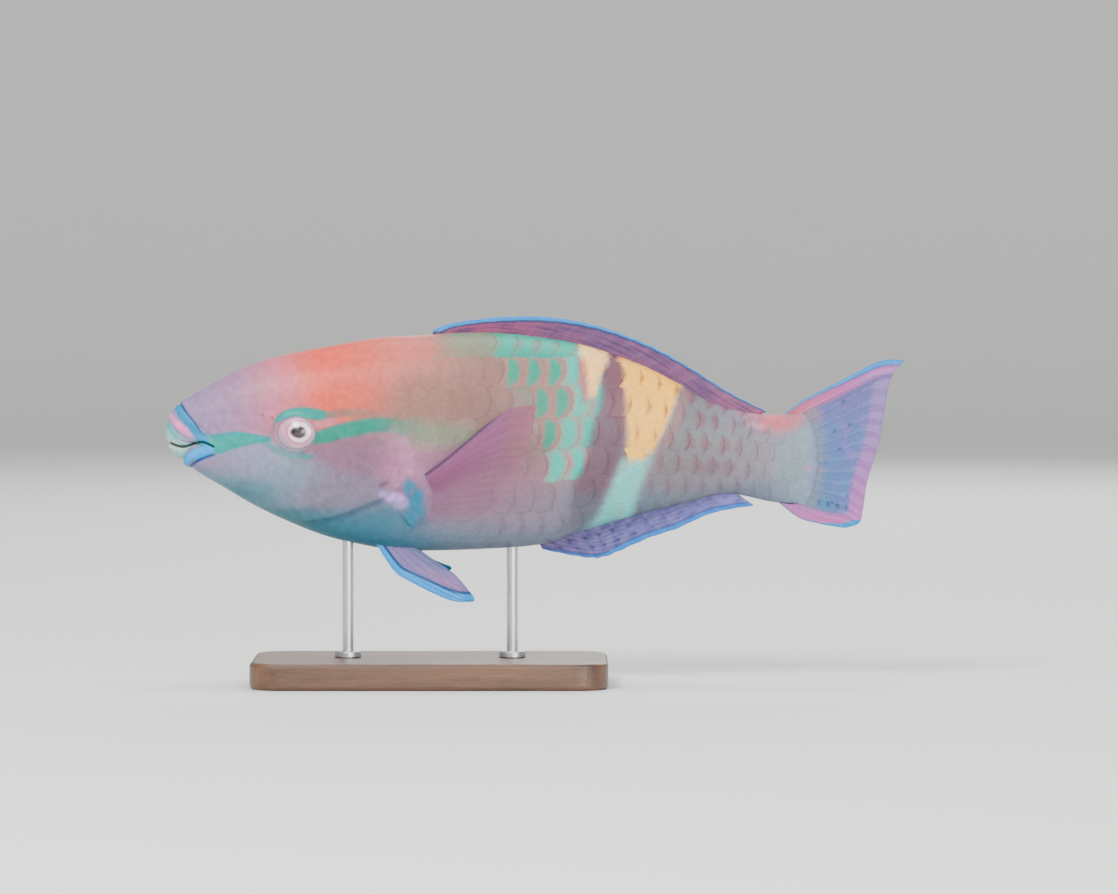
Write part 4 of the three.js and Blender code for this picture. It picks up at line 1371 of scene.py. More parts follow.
@dataclass(frozen=True)
class SteelFinish(Finish):
    """Stainless steel with a fine brushed grain round the rod."""

    name: str = "brushed_steel"
    shade: str = "#c3c5c8"
    grain_mm: float = 0.12

    def surface(self, tree: Tree) -> Socket:
        """Adds the nodes and gives their surface."""
        grain = noise(tree, self.grain_mm, 2.0, 0.5, drawn_out(tree, (0.03, 0.03, 1.0)))
        return shader(tree, {
            "Base Color": solid(self.shade), "Metallic": 1.0, "Roughness": tone(tree, grain, 0.26, 0.42),
            "Normal": relief(tree, grain, 0.01)})


@dataclass(frozen=True)
class FloorFinish(Finish):
    """Matt pale studio paper."""

    name: str = "studio_paper"
    shade: str = "#dcdcda"

    def surface(self, tree: Tree) -> Socket:
        """Adds the nodes and gives their surface."""
        paint = mottled(tree, solid(self.shade), noise(tree, 2.0), 0.985, 1.015)
        return shader(tree, {"Base Color": paint, "Roughness": 0.9, "Specular IOR Level": 0.2})


@dataclass
class Skin:
    """One closed skin over head, trunk and tail base, with the face's features in it."""

    body: BodyForm
    head: HeadForm
    markings: Markings
    finish: SkinFinish
    around: int = 250
    spans: Tuple[Triple, ...] = (
        (6, 26, 0.42), (26, 114, 0.48), (114, 130, 1.0), (130, 286, 1.6))
    snout_rings: int = 34
    tail_rings: int = 16
    flank_warp: float = 0.55
    ridge_sink: float = 0.3
    ridge_width: float = 0.35
    swell: float = 0.1

    def lengths(self) -> Array:
        """Lengths of all rings: fine on the head, coarser under the scales."""
        first, last = self.spans[0][0], self.spans[-1][1]
        parts = [np.linspace(0, math.sqrt(first), self.snout_rings, endpoint=False) ** 2]
        for start, end, step in self.spans:
            parts.append(np.linspace(start, end, round((end - start) / step), endpoint=False))
        left = self.body.flesh_length - last
        parts.append(self.body.flesh_length - np.linspace(math.sqrt(left), 0, self.tail_rings) ** 2)
        return np.concatenate(parts)

    def build(self) -> None:
        """Makes the skin piece."""
        lengths = self.lengths()
        raw = blank("fish_skin", len(lengths) - 1, self.around)
        rings = np.round(raw.u * (len(lengths) - 1)).astype(int)
        length = lengths[rings]
        station = self.body.station(length)
        half = (raw.v * 2) % 1
        warped = half + self.flank_warp * np.sin(math.tau * half) / math.tau
        angle = math.pi * (warped + (raw.v >= 0.5))
        angle = np.where(raw.v > 1 - 1e-6, math.tau, angle)
        point = self.body.point(station, angle)
        normal = self.body.normal(station, angle)
        height = point[:, 2]
        scaled = self.head.scaled(length, height)
        lift = self.head.relief(length, height) + self.swell * (1 - scaled) * wander(length, height, 14, 3)
        back, ridge = ease(length, 100, 120), scaled * bump(np.sin(angle), self.ridge_width)
        lift += ridge * (self.head.coat_depth * (1 - back) - self.ridge_sink * back)
        raw.set_uv("OFBake", 0.01 + 0.98 * raw.u, 0.01 + 0.98 * raw.v)
        raw.set_colour("Paint", self.markings.skin(length, height))
        raw.shape(point + normal * lift[:, None])
        raw.close()
        add_piece(raw.mesh, self.finish.build(), ("head", "torso", "tail_peduncle"))


@dataclass
class ScaleCoat:
    """Overlapping scales on one flank, in leaning columns that narrow towards the tail."""

    body: BodyForm
    head: HeadForm
    markings: Markings
    girth: Girth
    material: Material
    side: Side
    first_length: float = 61.6
    last_length: float = 289.0
    lean: float = 0.08
    overlap: float = 1.75
    half_height: float = 0.7
    bow: float = 0.06
    row_phase: float = 0.24
    rise: float = 0.62
    flat_rise: float = 0.12
    feather: float = 0.45
    thickness: float = 0.18
    bed: float = 0.08
    hide: float = 0.4
    bare_end: float = 84.0
    bare_top: float = 15.0
    slide: float = 0.25
    size_change: float = 0.03
    tone_change: float = 0.018
    rim_change: float = 0.45
    colour_place: float = 0.7
    bake_share: float = 0.9
    columns: int = 9
    rows: int = 6

    def pitch(self, length: Array) -> Array:
        """Distance between columns."""
        return np.interp(length, (150, 186, 214, 245), (9.2, 8.9, 7.9, 7.6))

    def row_pitch(self, length: Array) -> Array:
        """Distance between rows."""
        return np.interp(length, (60, 110, 150, 185, 215, 245, 286), (11.5, 14, 14.4, 14.2, 12.8, 10, 8.6))

    def places(self) -> Array:
        """Roots of the scales: length along the middle row, row number and three random shares."""
        draw = random.Random(SEED + self.side.value)
        found = []
        for row in range(-7, 8):
            length = self.first_length
            if row % 2:
                length += float(self.pitch(np.array(length))) / 2
            while length < self.last_length:
                shares = [draw.uniform(-1, 1) for _ in range(3)]
                found.append([length, row + self.row_phase, *shares])
                length += float(self.pitch(np.array(length)))
        return np.array(found)

    def settle(self, length: Array, reach: Array) -> Tuple[Array, Array, Array]:
        """Finds a place on the flank from length and reach along the skin.

        Args:
            length: places along the middle row.
            reach: distance up the skin from the middle of the flank.

        Returns:
            The station, the angle and the true length.
        """
        true = length + self.lean * reach
        true = np.clip(true, 0.5, self.body.flesh_length - 0.2)
        angle = self.girth.angle(true, self.girth.level_of(true, reach))
        return self.body.station(true), angle, true

    def kept(self) -> Tuple[Array, Array, Array]:
        """Scales that are built: none on the bare face, past the ridges or on the fin's pad.

        Returns:
            Their roots, and the length and height of their middles.
        """
        roots = self.places()
        level = self.girth.level_of(roots[:, 0], roots[:, 1] * self.row_pitch(roots[:, 0]))
        middle = roots[:, 0] + 0.55 * self.overlap * self.pitch(roots[:, 0])
        station, angle, true = self.settle(middle, roots[:, 1] * self.row_pitch(middle))
        height = self.body.point(station, angle)[:, 2]
        bare = (true < self.bare_end) & (height < self.bare_top)
        covered = (self.head.scaled(true, height) > 0.12) & (self.head.pad(true, height) < 0.6)
        chosen = covered & (np.abs(level) < 1.06) & ~bare
        return roots[chosen], true[chosen], height[chosen]

    def lift(self, raw: Blank, q: Array, p: Array, share: Array, full: Array) -> Array:
        """Height of the scales' points over the smooth flesh.

        Args:
            raw: the joined scales.
            q: 0 at a scale's root to 1 at its rear edge.
            p: -1 to 1 over a scale's height.
            share: how far the scale stands up.
            full: depth of the coat there, 1 where it is full.

        Returns:
            Millimetres outwards at each point.
        """
        thick = self.thickness * raw.taper(self.columns, self.rows) * (raw.side > 0)
        rise = self.flat_rise + (self.rise - self.flat_rise) * share
        fall = q - self.feather * (1 - share) * ease(q, 0.7, 1)
        over = rise * fall * (1 - 0.8 * p ** 2) + thick * (0.3 + 0.7 * share) - self.bed * (1 - share)
        return over - self.head.coat_depth * full - self.hide * (1 - full)

    def colour(self, raw: Blank, p: Array, place: Array, home: Array, change: Array) -> None:
        """Paints the scales.

        Args:
            raw: the joined scales.
            p: -1 to 1 over a scale's height.
            place: length and height of each point.
            home: length and height of the place that gives a scale its colour.
            change: two random shares for each point, for the rim and for the tone.
        """
        inner, margin, wide = self.markings.scale(place, home)
        raw.set_value("Dash", self.markings.dashes(place, home))
        slits = self.markings.slits(place, home)
        margin = margin + (inner - margin) * (slits * ease(np.abs(p), 0.22, 0.44))[:, None]
        raw.set_value("Rim", wide * (1 + self.rim_change * change[0]) * (1 - (p / 0.7) ** 2))
        tone = 1 + self.tone_change * change[1][:, None]
        raw.set_colour("Centre", inner * tone)
        raw.set_colour("Margin", margin * tone)

    def build(self) -> None:
        """Makes the coat piece for this flank."""
        roots, true_middle, middle_height = self.kept()
        cell = blank("scale_pattern", self.columns, self.rows, (1, -1))
        raw = tile(f"scales_{self.side.name.lower()}", cell, len(roots))
        count = len(raw.u) // len(roots)
        start, row, slide, shift, grow = (np.repeat(column, count) for column in roots.T)
        q = 1 - (1 - raw.u) ** 1.25
        p = 2 * raw.v - 1
        pitch, rows = self.pitch(start), self.row_pitch(start)
        size = 1 + self.size_change * grow
        tall = self.half_height * rows * size * (0.78 + 0.22 * ease(q, 0, 0.5))
        bow = np.minimum(self.bow * (tall * p) ** 2, 0.6 * pitch)
        length = start + self.slide * slide + self.overlap * pitch * size * q - bow * q
        reach = row * self.row_pitch(length) + self.slide * shift + p * tall * self.row_pitch(length) / rows
        station, angle, true = self.settle(length, reach)
        point = self.body.point(station, angle)
        share = np.repeat(self.head.scale_rise(true_middle, middle_height), count)
        lift = self.lift(raw, q, p, share, self.head.scaled(true, point[:, 2]))
        point = point + self.body.normal(station, angle) * lift[:, None]
        centre = start + self.colour_place * self.overlap * pitch
        home = self.body.point(*self.settle(centre, row * self.row_pitch(centre))[:2])
        self.colour(raw, p, point[:, [0, 2]], home[:, [0, 2]], (slide, grow))
        raw.set_uv("ScaleUV", q, p)
        patch = start + (raw.u - 0.5) * self.bake_share * pitch
        level = self.girth.level_of(patch, (row + (raw.v - 0.5) * self.bake_share) * rows)
        raw.set_uv("OFBake", patch / 300, 0.5 + 0.42 * level)
        point[:, 1] *= -self.side.value
        raw.shape(point)
        raw.close()
        add_piece(raw.mesh, self.material)


@dataclass
class Fin:
    """A thin web stiffened by rays and closed all round; the sheet fills four edge curves."""

    name: str
    slot: str
    root: Line
    margin: Line
    leading: Line
    trailing: Line
    rays: int
    finish: FinFinish
    spines: int = 0
    cell_columns: int = 12
    rows: int = 36
    ray_half: Pair = (0.85, 0.3)
    web_half: Pair = (0.28, 0.12)
    scallop: float = 0.0
    billow: float = 0.3
    fork: float = 0.35
    rake: float = 0.0

    def cells(self, u: Array, v: Array) -> Array:
        """Number of rays passed, counted along a line that leans back with the rays."""
        return (u - self.rake * v * (1 - u)) * self.rays

    def sheet(self, u: Array, v: Array) -> Array:
        """Places in side view.

        Args:
            u: 0 on the leading edge to 1 on the trailing edge.
            v: 0 at the root to 1 at the margin.

        Returns:
            Lengths and heights.
        """
        root, margin = Curve(self.root), Curve(self.margin)
        leading, trailing = Curve(self.leading), Curve(self.trailing)
        a, b = u[..., None], v[..., None]
        ends = np.array([self.root[0], self.root[-1], self.margin[0], self.margin[-1]])
        across = root(u) * (1 - b) + margin(u) * b
        out = leading(v) * (1 - a) + trailing(v) * a
        near = (ends[0] * (1 - a) + ends[1] * a) * (1 - b)
        far = (ends[2] * (1 - a) + ends[3] * a) * b
        return across + out - near - far

    def from_edge(self, edge: str, flat: Array) -> Array:
        """Distance of places in side view from one of the four edges."""
        return Curve(getattr(self, edge)).away(flat[:, 0], flat[:, 1])

    def offset(self, u: Array, v: Array, flat: Array) -> Array:
        """Distance from the mid plane, towards the left."""
        return np.zeros(np.shape(u))

    def ray(self, u: Array, v: Array) -> Array:
        """Share from 0 on the web to 1 on the crest of a ray; soft rays fork twice.

        Args:
            u: 0 on the leading edge to 1 on the trailing edge.
            v: 0 at the root to 1 at the margin.

        Returns:
            A share from 0 to 1 for each place.
        """
        cell = self.cells(u, v)
        place = cell % 1 - 0.5
        soft = np.floor(np.clip(cell, 0, self.rays - 1)) >= self.spines
        first = 0.15 * ease(v, self.fork, 0.95) * soft
        second = 0.09 * ease(v, self.fork + 0.3, 1.0) * soft
        turns = [(a, b) for a in (-1, 1) for b in (-1, 1)]
        return np.max([bump(place - a * first - b * second, 0.085) for a, b in turns], axis=0)

    def wave(self, u: Array, v: Array) -> Array:
        """Sideways swell of the web between its rays and of the whole fin."""
        tight = self.billow * np.sin(math.tau * self.cells(u, v)) * ease(v, 0.1, 0.8)
        return tight * 0.4 + self.billow * 1.5 * np.sin(u * 7 + 1.3) * v ** 2

    def place(self, u: Array, v: Array) -> Array:
        """Places on the middle of the web, in the fish's own millimetres."""
        flat = self.sheet(u, v)
        return np.stack([flat[:, 0], self.offset(u, v, flat) + self.wave(u, v), flat[:, 1]], axis=-1)

    def paint(self, u: Array, v: Array, flat: Array) -> Array:
        """Colours of the web and rays.

        Args:
            u: 0 on the leading edge to 1 on the trailing edge.
            v: 0 at the root to 1 at the margin.
            flat: length and height of each point.

        Returns:
            The sRGB parts for each point.
        """
        raise NotImplementedError

    def thinness(self, u: Array, v: Array) -> Array:
        """Share of the finish's clearness that the web has."""
        return np.ones(np.shape(u))

    def build(self) -> None:
        """Makes the fin piece."""
        columns = self.rays * self.cell_columns
        raw = blank(self.name, columns, self.rows, (1, -1))
        u, v = raw.u, raw.v
        crest = self.ray(u, v)
        drawn = v * (1 - self.scallop * np.cos(math.tau * self.cells(u, v)) * v ** 3 - self.scallop * v ** 3)
        small = 1e-3
        across = self.place(np.minimum(u + small, 1), drawn) - self.place(np.maximum(u - small, 0), drawn)
        outward = self.place(u, np.minimum(drawn + small, 1)) - self.place(u, np.maximum(drawn - small, 0))
        normal = np.cross(across, outward)
        normal /= np.maximum(np.linalg.norm(normal, axis=-1, keepdims=True), 1e-12)
        web = self.web_half[0] + (self.web_half[1] - self.web_half[0]) * v
        high = self.ray_half[0] + (self.ray_half[1] - self.ray_half[0]) * v
        half = (web + (high - web) * crest) * raw.taper(columns / 2.5, self.rows / 1.5)
        point = self.place(u, drawn)
        raw.set_colour("Paint", self.paint(u, v, point[:, [0, 2]]))
        raw.set_value("Web", 1 - 0.4 * crest)
        raw.set_value("Thin", self.thinness(u, v) * (1 - 0.15 * crest))
        raw.set_sheet_uv()
        raw.shape(point + normal * (half * raw.side)[:, None])
        raw.close()
        add_piece(raw.mesh, self.finish.build(), (self.name,))


def along(start: Sequence[float], shades: Sequence[str], values: Array) -> Array:
    """Blends shades by where a value lies among the starts."""
    table = np.array([srgb(shade) for shade in shades])
    return np.stack([np.interp(values, start, table[:, i]) for i in range(3)], axis=-1)


def inside_of(away: Array, width: Array, below: float = 0.3, above: float = 0.2) -> Array:
    """Share that is 1 nearer than a width and fades over a thin border."""
    return 1 - ease(away, width - below, width + above)


@dataclass
class DorsalFin(Fin):
    """Long back fin: nine spines, ten soft rays, magenta web and a cyan edge."""

    def paint(self, u: Array, v: Array, flat: Array) -> Array:
        """Colours of the web and rays."""
        tip = self.sheet(u, np.ones(np.shape(u)))
        deep = np.linalg.norm(tip - self.sheet(u, np.full(np.shape(u), 0.2)), axis=-1) / 0.8
        below = (1 - v) * deep
        streak = wander(flat[:, 0] * 0.2, 1.3 * below - 0.12 * flat[:, 0], 2.4, 21)
        wide = np.interp(u, (0, 0.05, 0.35, 0.5, 0.75, 1), (1.4, 2.4, 2.2, 1.4, 0.9, 0.6))
        ground = along((0, 0.25, 0.5, 0.8, 1), ("#c2688a", "#b46a90", "#92709e", "#9a6e9c", "#c07a98"), u)
        return coats(
            ground,
            ("#c4849c", 0.5 * (1 - ease(v, 0.1, 0.45))),
            ("#6a5288", 0.6 * ease(streak, 0.1, 0.9) * ease(below, 1.5, 4.0)),
            ("#c07a98", 0.45 * ease(-streak, 0.1, 0.9)),
            ("#3c5a98", 0.75 * bump(below - wide - 0.4, 0.5)),
            ("#44b0f6", inside_of(below, wide)))


@dataclass
class AnalFin(Fin):
    """Fin behind the vent: lilac web, dark spots along its base and a blue edge."""

    spot_rows: Pair = (0.42, 0.68)

    def paint(self, u: Array, v: Array, flat: Array) -> Array:
        """Colours of the web and rays."""
        edge = self.from_edge("margin", flat)
        streak = wander(flat[:, 0] * 0.25, 1.2 * edge, 2.4, 31)
        wide = np.interp(u, (0, 0.3, 0.45, 1), (0.5, 1.3, 2.2, 1.6))
        base = ease(u, 0.02, 0.1) * (1 - ease(u, 0.4, 0.7))
        spots = [bump(self.cells(u, v) % 1 - 0.5, 0.14) * bump(v - row, 0.04) for row in self.spot_rows]
        return coats(
            along((0, 0.4, 0.8, 1), ("#9080b6", "#8485c0", "#8c8ccc", "#aaa2e2"), u),
            ("#6f68a4", 0.5 * ease(streak, 0.1, 0.9)),
            ("#b898cc", 0.5 * ease(-streak, 0.1, 0.9)),
            *(("#463c74", 0.65 * spot * base) for spot in spots),
            ("#4a66b4", 0.6 * bump(edge - wide - 0.4, 0.5)),
            ("#2c9cf0", inside_of(edge, wide)))


@dataclass
class CaudalFin(Fin):
    """Tail fin: lilac-blue middle, pink bands all round and cyan outer edges."""

    sway: float = 2.0
    flesh_end: float = 294.0
    flesh_bow: float = 0.006
    flesh_middle: float = -6.0
    flesh_fade: float = 5.5

    def offset(self, u: Array, v: Array, flat: Array) -> Array:
        """A slight bend, as in a slow stroke."""
        return self.sway * v ** 2

    def web(self, u: Array, length: Array, height: Array, lower: Array) -> Array:
        """Colours of the middle of the fin, with dashes along its rays and spots low down.

        Args:
            u: 0 on the leading edge to 1 on the trailing edge.
            length: places along the fish.
            height: heights from its axis.
            lower: distance from the lower edge.

        Returns:
            The sRGB parts for each point.
        """
        row, across = np.divmod(u * self.rays, 1)
        dash = bump(across - 0.5, 0.13) * ease(np.sin(length * 0.9 + row * row * 2.4), 0.55, 0.95)
        dash = dash * ease(wander(length * 0.7, height * 1.4, 8, 43), -0.1, 0.6)
        spots = bump(lower - 9.6, 1.3) * ease(np.sin(length * 1.5), 0.1, 0.7)
        return coats(
            plain("#8796d0", u),
            ("#7ca6cc", 0.55 * ease(wander(length * 0.8, height * 0.6, 8, 41), -0.2, 0.8)),
            ("#a994cc", 0.45 * ease(wander(length, height, 7, 42), 0.1, 0.9)),
            ("#76a8bc", 0.5 * bump(length - 296, 5) * ease(-height, 0, 12)),
            ("#8d86c2", 0.5 * ease(height, 2, 16)),
            ("#56609a", 0.7 * dash * ease(length, 294, 300)),
            ("#4a769a", 0.7 * spots * ease(length, 286, 292)))

    def paint(self, u: Array, v: Array, flat: Array) -> Array:
        """Colours of the web and rays."""
        length, height = flat[:, 0], flat[:, 1]
        upper, lower, rear = (self.from_edge(edge, flat) for edge in ("leading", "trailing", "margin"))
        start = self.flesh_end - self.flesh_bow * (height - self.flesh_middle) ** 2
        start = start + 0.8 * wander(height, height * 0, 4, 44)
        flesh = Markings().skin(np.minimum(length, 291), height)
        pink = np.maximum(1 - ease(rear, 5.4, 8.4), 1 - ease(lower, 4.4, 7.6))
        rim = along((-40, -20, 0, 20, 36), ("#d094cc", "#c592cc", "#b696ce", "#ac96cc", "#ae9ed2"), height)
        over = np.interp(length, (276, 300, 326), (3.6, 6.0, 6.0))
        warm = along((280, 292, 304, 318), ("#e88e94", "#d892b2", "#d68cbe", "#cf9cd0"), length)
        wide = np.interp(length, (280, 296, 312, 333), (0.4, 0.9, 1.8, 2.3))
        low = np.interp(length, (285, 296, 302, 313), (0.2, 0.5, 1.6, 2.2))
        low_edge = np.minimum(lower, np.where(height < -36, rear * 0.8, 9))
        return coats(
            self.web(u, length, height, lower),
            (flesh, 1 - ease(length, start, start + self.flesh_fade)),
            (rim, pink),
            ("#d896c0", (1 - ease(lower, 3.0, 6.5)) * bump(length - 297, 11) * 0.8),
            ("#8a76ac", 0.45 * bump(upper - over - 0.9, 1.3) * ease(length, 296, 306)),
            (warm, inside_of(upper, over, 1.4, 1.2)),
            ("#5a7cc0", 0.4 * bump(upper - wide - 0.3, 0.4)),
            ("#44acf0", inside_of(upper, wide, 0.3, 0.25)),
            ("#42b0ea", inside_of(low_edge, low, 0.3, 0.3)))


@dataclass
class PairedFin(Fin):
    """A fin of one flank."""

    side: Side = Side.LEFT


@dataclass
class PectoralFin(PairedFin):
    """Rowing fin behind the gill: clear magenta web, darkest along its upper edge."""

    body: BodyForm = field(default_factory=BodyForm)
    lean: float = 14.0
    sink: float = 4.0

    def offset(self, u: Array, v: Array, flat: Array) -> Array:
        """Distance from the mid plane: rooted in the flank, leaning out from it."""
        root = self.sheet(u, np.zeros(np.shape(u)))
        start = self.body.flank(root[..., 0], root[..., 1]) - self.sink
        out = math.tan(math.radians(self.lean)) * np.linalg.norm(flat - root, axis=-1)
        return self.side.value * (start + self.sink * np.tanh(7 * v) + out)

    def paint(self, u: Array, v: Array, flat: Array) -> Array:
        """Colours of the web and rays."""
        edge = self.from_edge("leading", flat)
        return coats(
            along((0, 0.35, 0.7, 1), ("#b684a6", "#b888a4", "#b48ca0", "#ac949e"), u),
            ("#b98ea6", 0.12 * self.ray(u, v) * ease(v, 0.15, 0.4)),
            ("#b676a0", 0.5 * bump(edge - 7, 6) * (1 - ease(v, 0.5, 1))),
            ("#c08090", 0.6 * ease(v, 0.7, 0.95) * (1 - ease(u, 0.3, 0.6))),
            ("#6e5680", 0.8 * (1 - ease(edge, 0.4, 1.6)) * (1 - ease(v, 0.5, 0.8))),
            ("#5a9ab8", 0.6 * (1 - ease(v, 0.04, 0.14)) * ease(u, 0.1, 0.4)))

    def thinness(self, u: Array, v: Array) -> Array:
        """Share of the finish's clearness that the web has: least along the front edge."""
        return 0.25 + 0.75 * np.clip(ease(u, 0.05, 0.55) + 0.5 * ease(v, 0.6, 1), 0, 1)


@dataclass
class PelvicFin(PairedFin):
    """Belly fin: bright cyan front edge and pale lilac web."""

    root_offset: float = 5.5
    splay: float = 10.5
    edge_shade: str = "#2cbaf8"
    web_shade: str = "#a79ac5"
    line_shade: str = "#2b62a8"

    def offset(self, u: Array, v: Array, flat: Array) -> Array:
        """Distance from the mid plane, growing towards the tip."""
        return self.side.value * (self.root_offset + self.splay * v ** 1.2)

    def paint(self, u: Array, v: Array, flat: Array) -> Array:
        """Colours of the web and rays."""
        edge = self.from_edge("leading", flat)
        wide = np.interp(v, (0, 0.3, 0.7, 1), (2.0, 3.3, 4.0, 2.8))
        return coats(
            plain(self.web_shade, u),
            ("#7a8cb8", 0.6 * ease(u, 0.5, 1.0) * (1 - ease(v, 0.2, 0.6))),
            ("#c79ac0", 0.5 * bump(u - 0.62, 0.16) * ease(v, 0.1, 0.5)),
            (self.line_shade, 0.85 * bump(edge - wide - 0.5, 0.6)),
            (self.edge_shade, inside_of(edge, wide, 0.35, 0.2)))


@dataclass
class Eye:
    """One eyeball: flat oval globe, pale ring and a dark pupil pointed towards the snout."""

    body: BodyForm
    head: HeadForm
    side: Side
    material: Material
    radii: Triple = (11.4, 6.6, 9.8)
    stands_out: float = 2.6
    pupil_shift: Pair = (1.7, 0.5)
    pupil: Pair = (2.75, 2.35)
    halo: Pair = (5.1, 4.6)
    cornea_swell: float = 0.7

    def paint(self, across: Array, up: Array) -> Array:
        """Colours from the place on the globe in side view, measured from its middle.

        Args:
            across: distance back from the middle.
            up: distance above it.

        Returns:
            The sRGB parts for each point.
        """
        x, z = across - self.pupil_shift[0], up - self.pupil_shift[1]
        point = np.where(x < 0, 1 + 0.22 * np.clip(-x / self.pupil[0], 0, 1.4), 1.0)
        ring = np.hypot(x / (self.pupil[0] * point), z / self.pupil[1])
        out = np.hypot(across / self.head.eye_opening[0], up / self.head.eye_opening[1])
        grey = wander(across * 3, up * 3, 5, 51)
        halo = np.hypot(x / self.halo[0], z / self.halo[1])
        return coats(
            plain("#dcb6c2", across),
            ("#c8a6b6", 0.5 * ease(grey, 0, 1)),
            # Painted highlight: the upper rear of the globe is lighter.
            ("#ecd4dc", 0.7 * ease(across + up, 4.5, 8)),
            # Painted shade: the lower front of the globe is darker and bluer, a shadow rim along that side.
            ("#a9a4b4", 0.7 * ease(-across - up, 5.5, 9.5)),
            ("#c490a0", 0.7 * bump(halo - 1.1, 0.09)),
            ("#fbeef0", 1 - ease(halo, 0.94, 1.04)),
            ("#b8788c", 0.8 * bump(ring - 1.12, 0.1)),
            ("#8d8a9c", 0.7 * ease(out, 0.92, 1.02)),
            ("#3a2438", 1 - ease(ring, 0.96, 1.1)),
            ("#5a5458", 0.9 * (1 - ease(ring, 0.45, 0.75))))

    def build(self) -> None:
        """Makes the eye piece."""
        name = f"eye_{self.side.name.lower()}"
        ball = bmesh.new()
        bmesh.ops.create_uvsphere(ball, u_segments=120, v_segments=80, radius=1.0)
        bmesh.ops.rotate(ball, verts=ball.verts, matrix=Matrix.Rotation(math.pi / 2, 3, "X"))
        mesh = as_mesh(ball, name)
        unit = point_places(mesh)
        shape = unit * np.array(self.radii)
        pupil = np.hypot(shape[:, 0] - self.pupil_shift[0], shape[:, 2] - self.pupil_shift[1])
        outer = unit[:, 1] * self.side.value > 0
        shape[:, 1] += self.side.value * self.cornea_swell * bump(pupil, 4.2) * outer
        length, height = self.head.eye_place
        wide = self.body.flank(length + np.array([1, -1, 0, 0]), height + np.array([0, 0, 1, -1]))
        outward = Vector((-(wide[0] - wide[1]) / 2, self.side.value, -(wide[2] - wide[3]) / 2)).normalized()
        turn = np.array(Vector((0, self.side.value, 0)).rotation_difference(outward).to_matrix())
        flank = float(self.body.flank(np.array(length), np.array(height)))
        centre = np.array([length, self.side.value * flank, height])
        centre = centre + np.array(outward) * (self.stands_out - self.radii[1])
        raw = Blank(mesh, unit[:, 0], unit[:, 2], unit[:, 1])
        raw.set_colour("Paint", self.paint(shape[:, 0], shape[:, 2]))
        raw.shape(shape @ turn.T + centre)
        raw.close()
        add_piece(mesh, self.material, (name,))


@dataclass
class BeakPlate:
    """One row of fused teeth, from the lip's edge to the cutting edge."""

    body: BodyForm
    head: HeadForm
    material: Material
    name: str
    upper: bool
    lip: Line
    cut: Line
    columns: int = 150
    rows: int = 24
    depth: float = 2.4
    teeth: int = 22
    jag: float = 0.224
    ridge: float = 0.12

    def profile(self, line: Line) -> Tuple[Array, Array]:
        """Distances behind the snout's profile along a line, with their heights."""
        path = Curve(line).path(200)
        behind = path[:, 0] - self.body.front(path[:, 1])
        order = np.argsort(behind)
        return behind[order], path[order, 1]

    def build(self) -> None:
        """Makes the plate piece."""
        raw = blank(self.name, self.columns, self.rows, (1, -1))
        across = 2 * raw.u - 1
        lip, cut = self.profile(self.lip), self.profile(self.cut)
        reach = min(lip[0][-1], cut[0][-1])
        behind = reach * across ** 2
        top, low = np.interp(behind, *lip), np.interp(behind, *cut)
        teeth = self.teeth * np.abs(across)
        jag = self.jag * np.abs(np.sin(math.pi * teeth)) * (1 - np.abs(across)) ** 0.5
        low = low + (1 if self.upper else -1) * jag
        height = top + (low - top) * raw.v
        length = self.body.front(height) + behind
        flank = self.body.flank(length, height)
        side = np.where(across < 0, -1.0, 1.0)
        point = np.stack([length, side * flank, height], axis=-1)
        angle = np.clip(np.arccos(self.body.cosine(length, height)), 0.02, math.pi - 0.02)
        normal = self.body.normal(self.body.station(length), angle)
        normal[:, 1] *= -side
        ridge = self.ridge * np.cos(math.tau * teeth) * ease(raw.v, 0.2, 0.9)
        swell = 0.5 * np.sin(math.pi * np.clip(raw.v, 0, 1)) - 0.55 + ridge
        lift = swell - self.depth * raw.taper(self.columns / 4, self.rows / 3) * (raw.side < 0)
        paint = along((0, 0.35, 0.8, 1), ("#7fb0b4", "#a8cccb", "#c4dcd6", "#dfe6dc"), raw.v)
        gaps = 0.35 * ease(np.cos(math.tau * teeth + math.pi), 0.5, 1)
        raw.set_colour("Paint", lay(paint, "#6e9aa0", gaps))
        raw.set_sheet_uv()
        raw.shape(point + normal * lift[:, None])
        raw.close()
        add_piece(raw.mesh, self.material, (self.name,))


def is_level(edge: bmesh.types.BMEdge) -> bool:
    """Tells whether an edge lies level."""
    return abs(edge.verts[0].co.z - edge.verts[1].co.z) < 1e-7


def bevel(shape: Shape, edges: Sequence[bmesh.types.BMEdge], width: float, steps: int) -> None:
    """Rounds edges by a width in mm."""
    bmesh.ops.bevel(shape, geom=edges, offset=width * MM, segments=steps, profile=0.5, affect="EDGES",
                    material=-1)


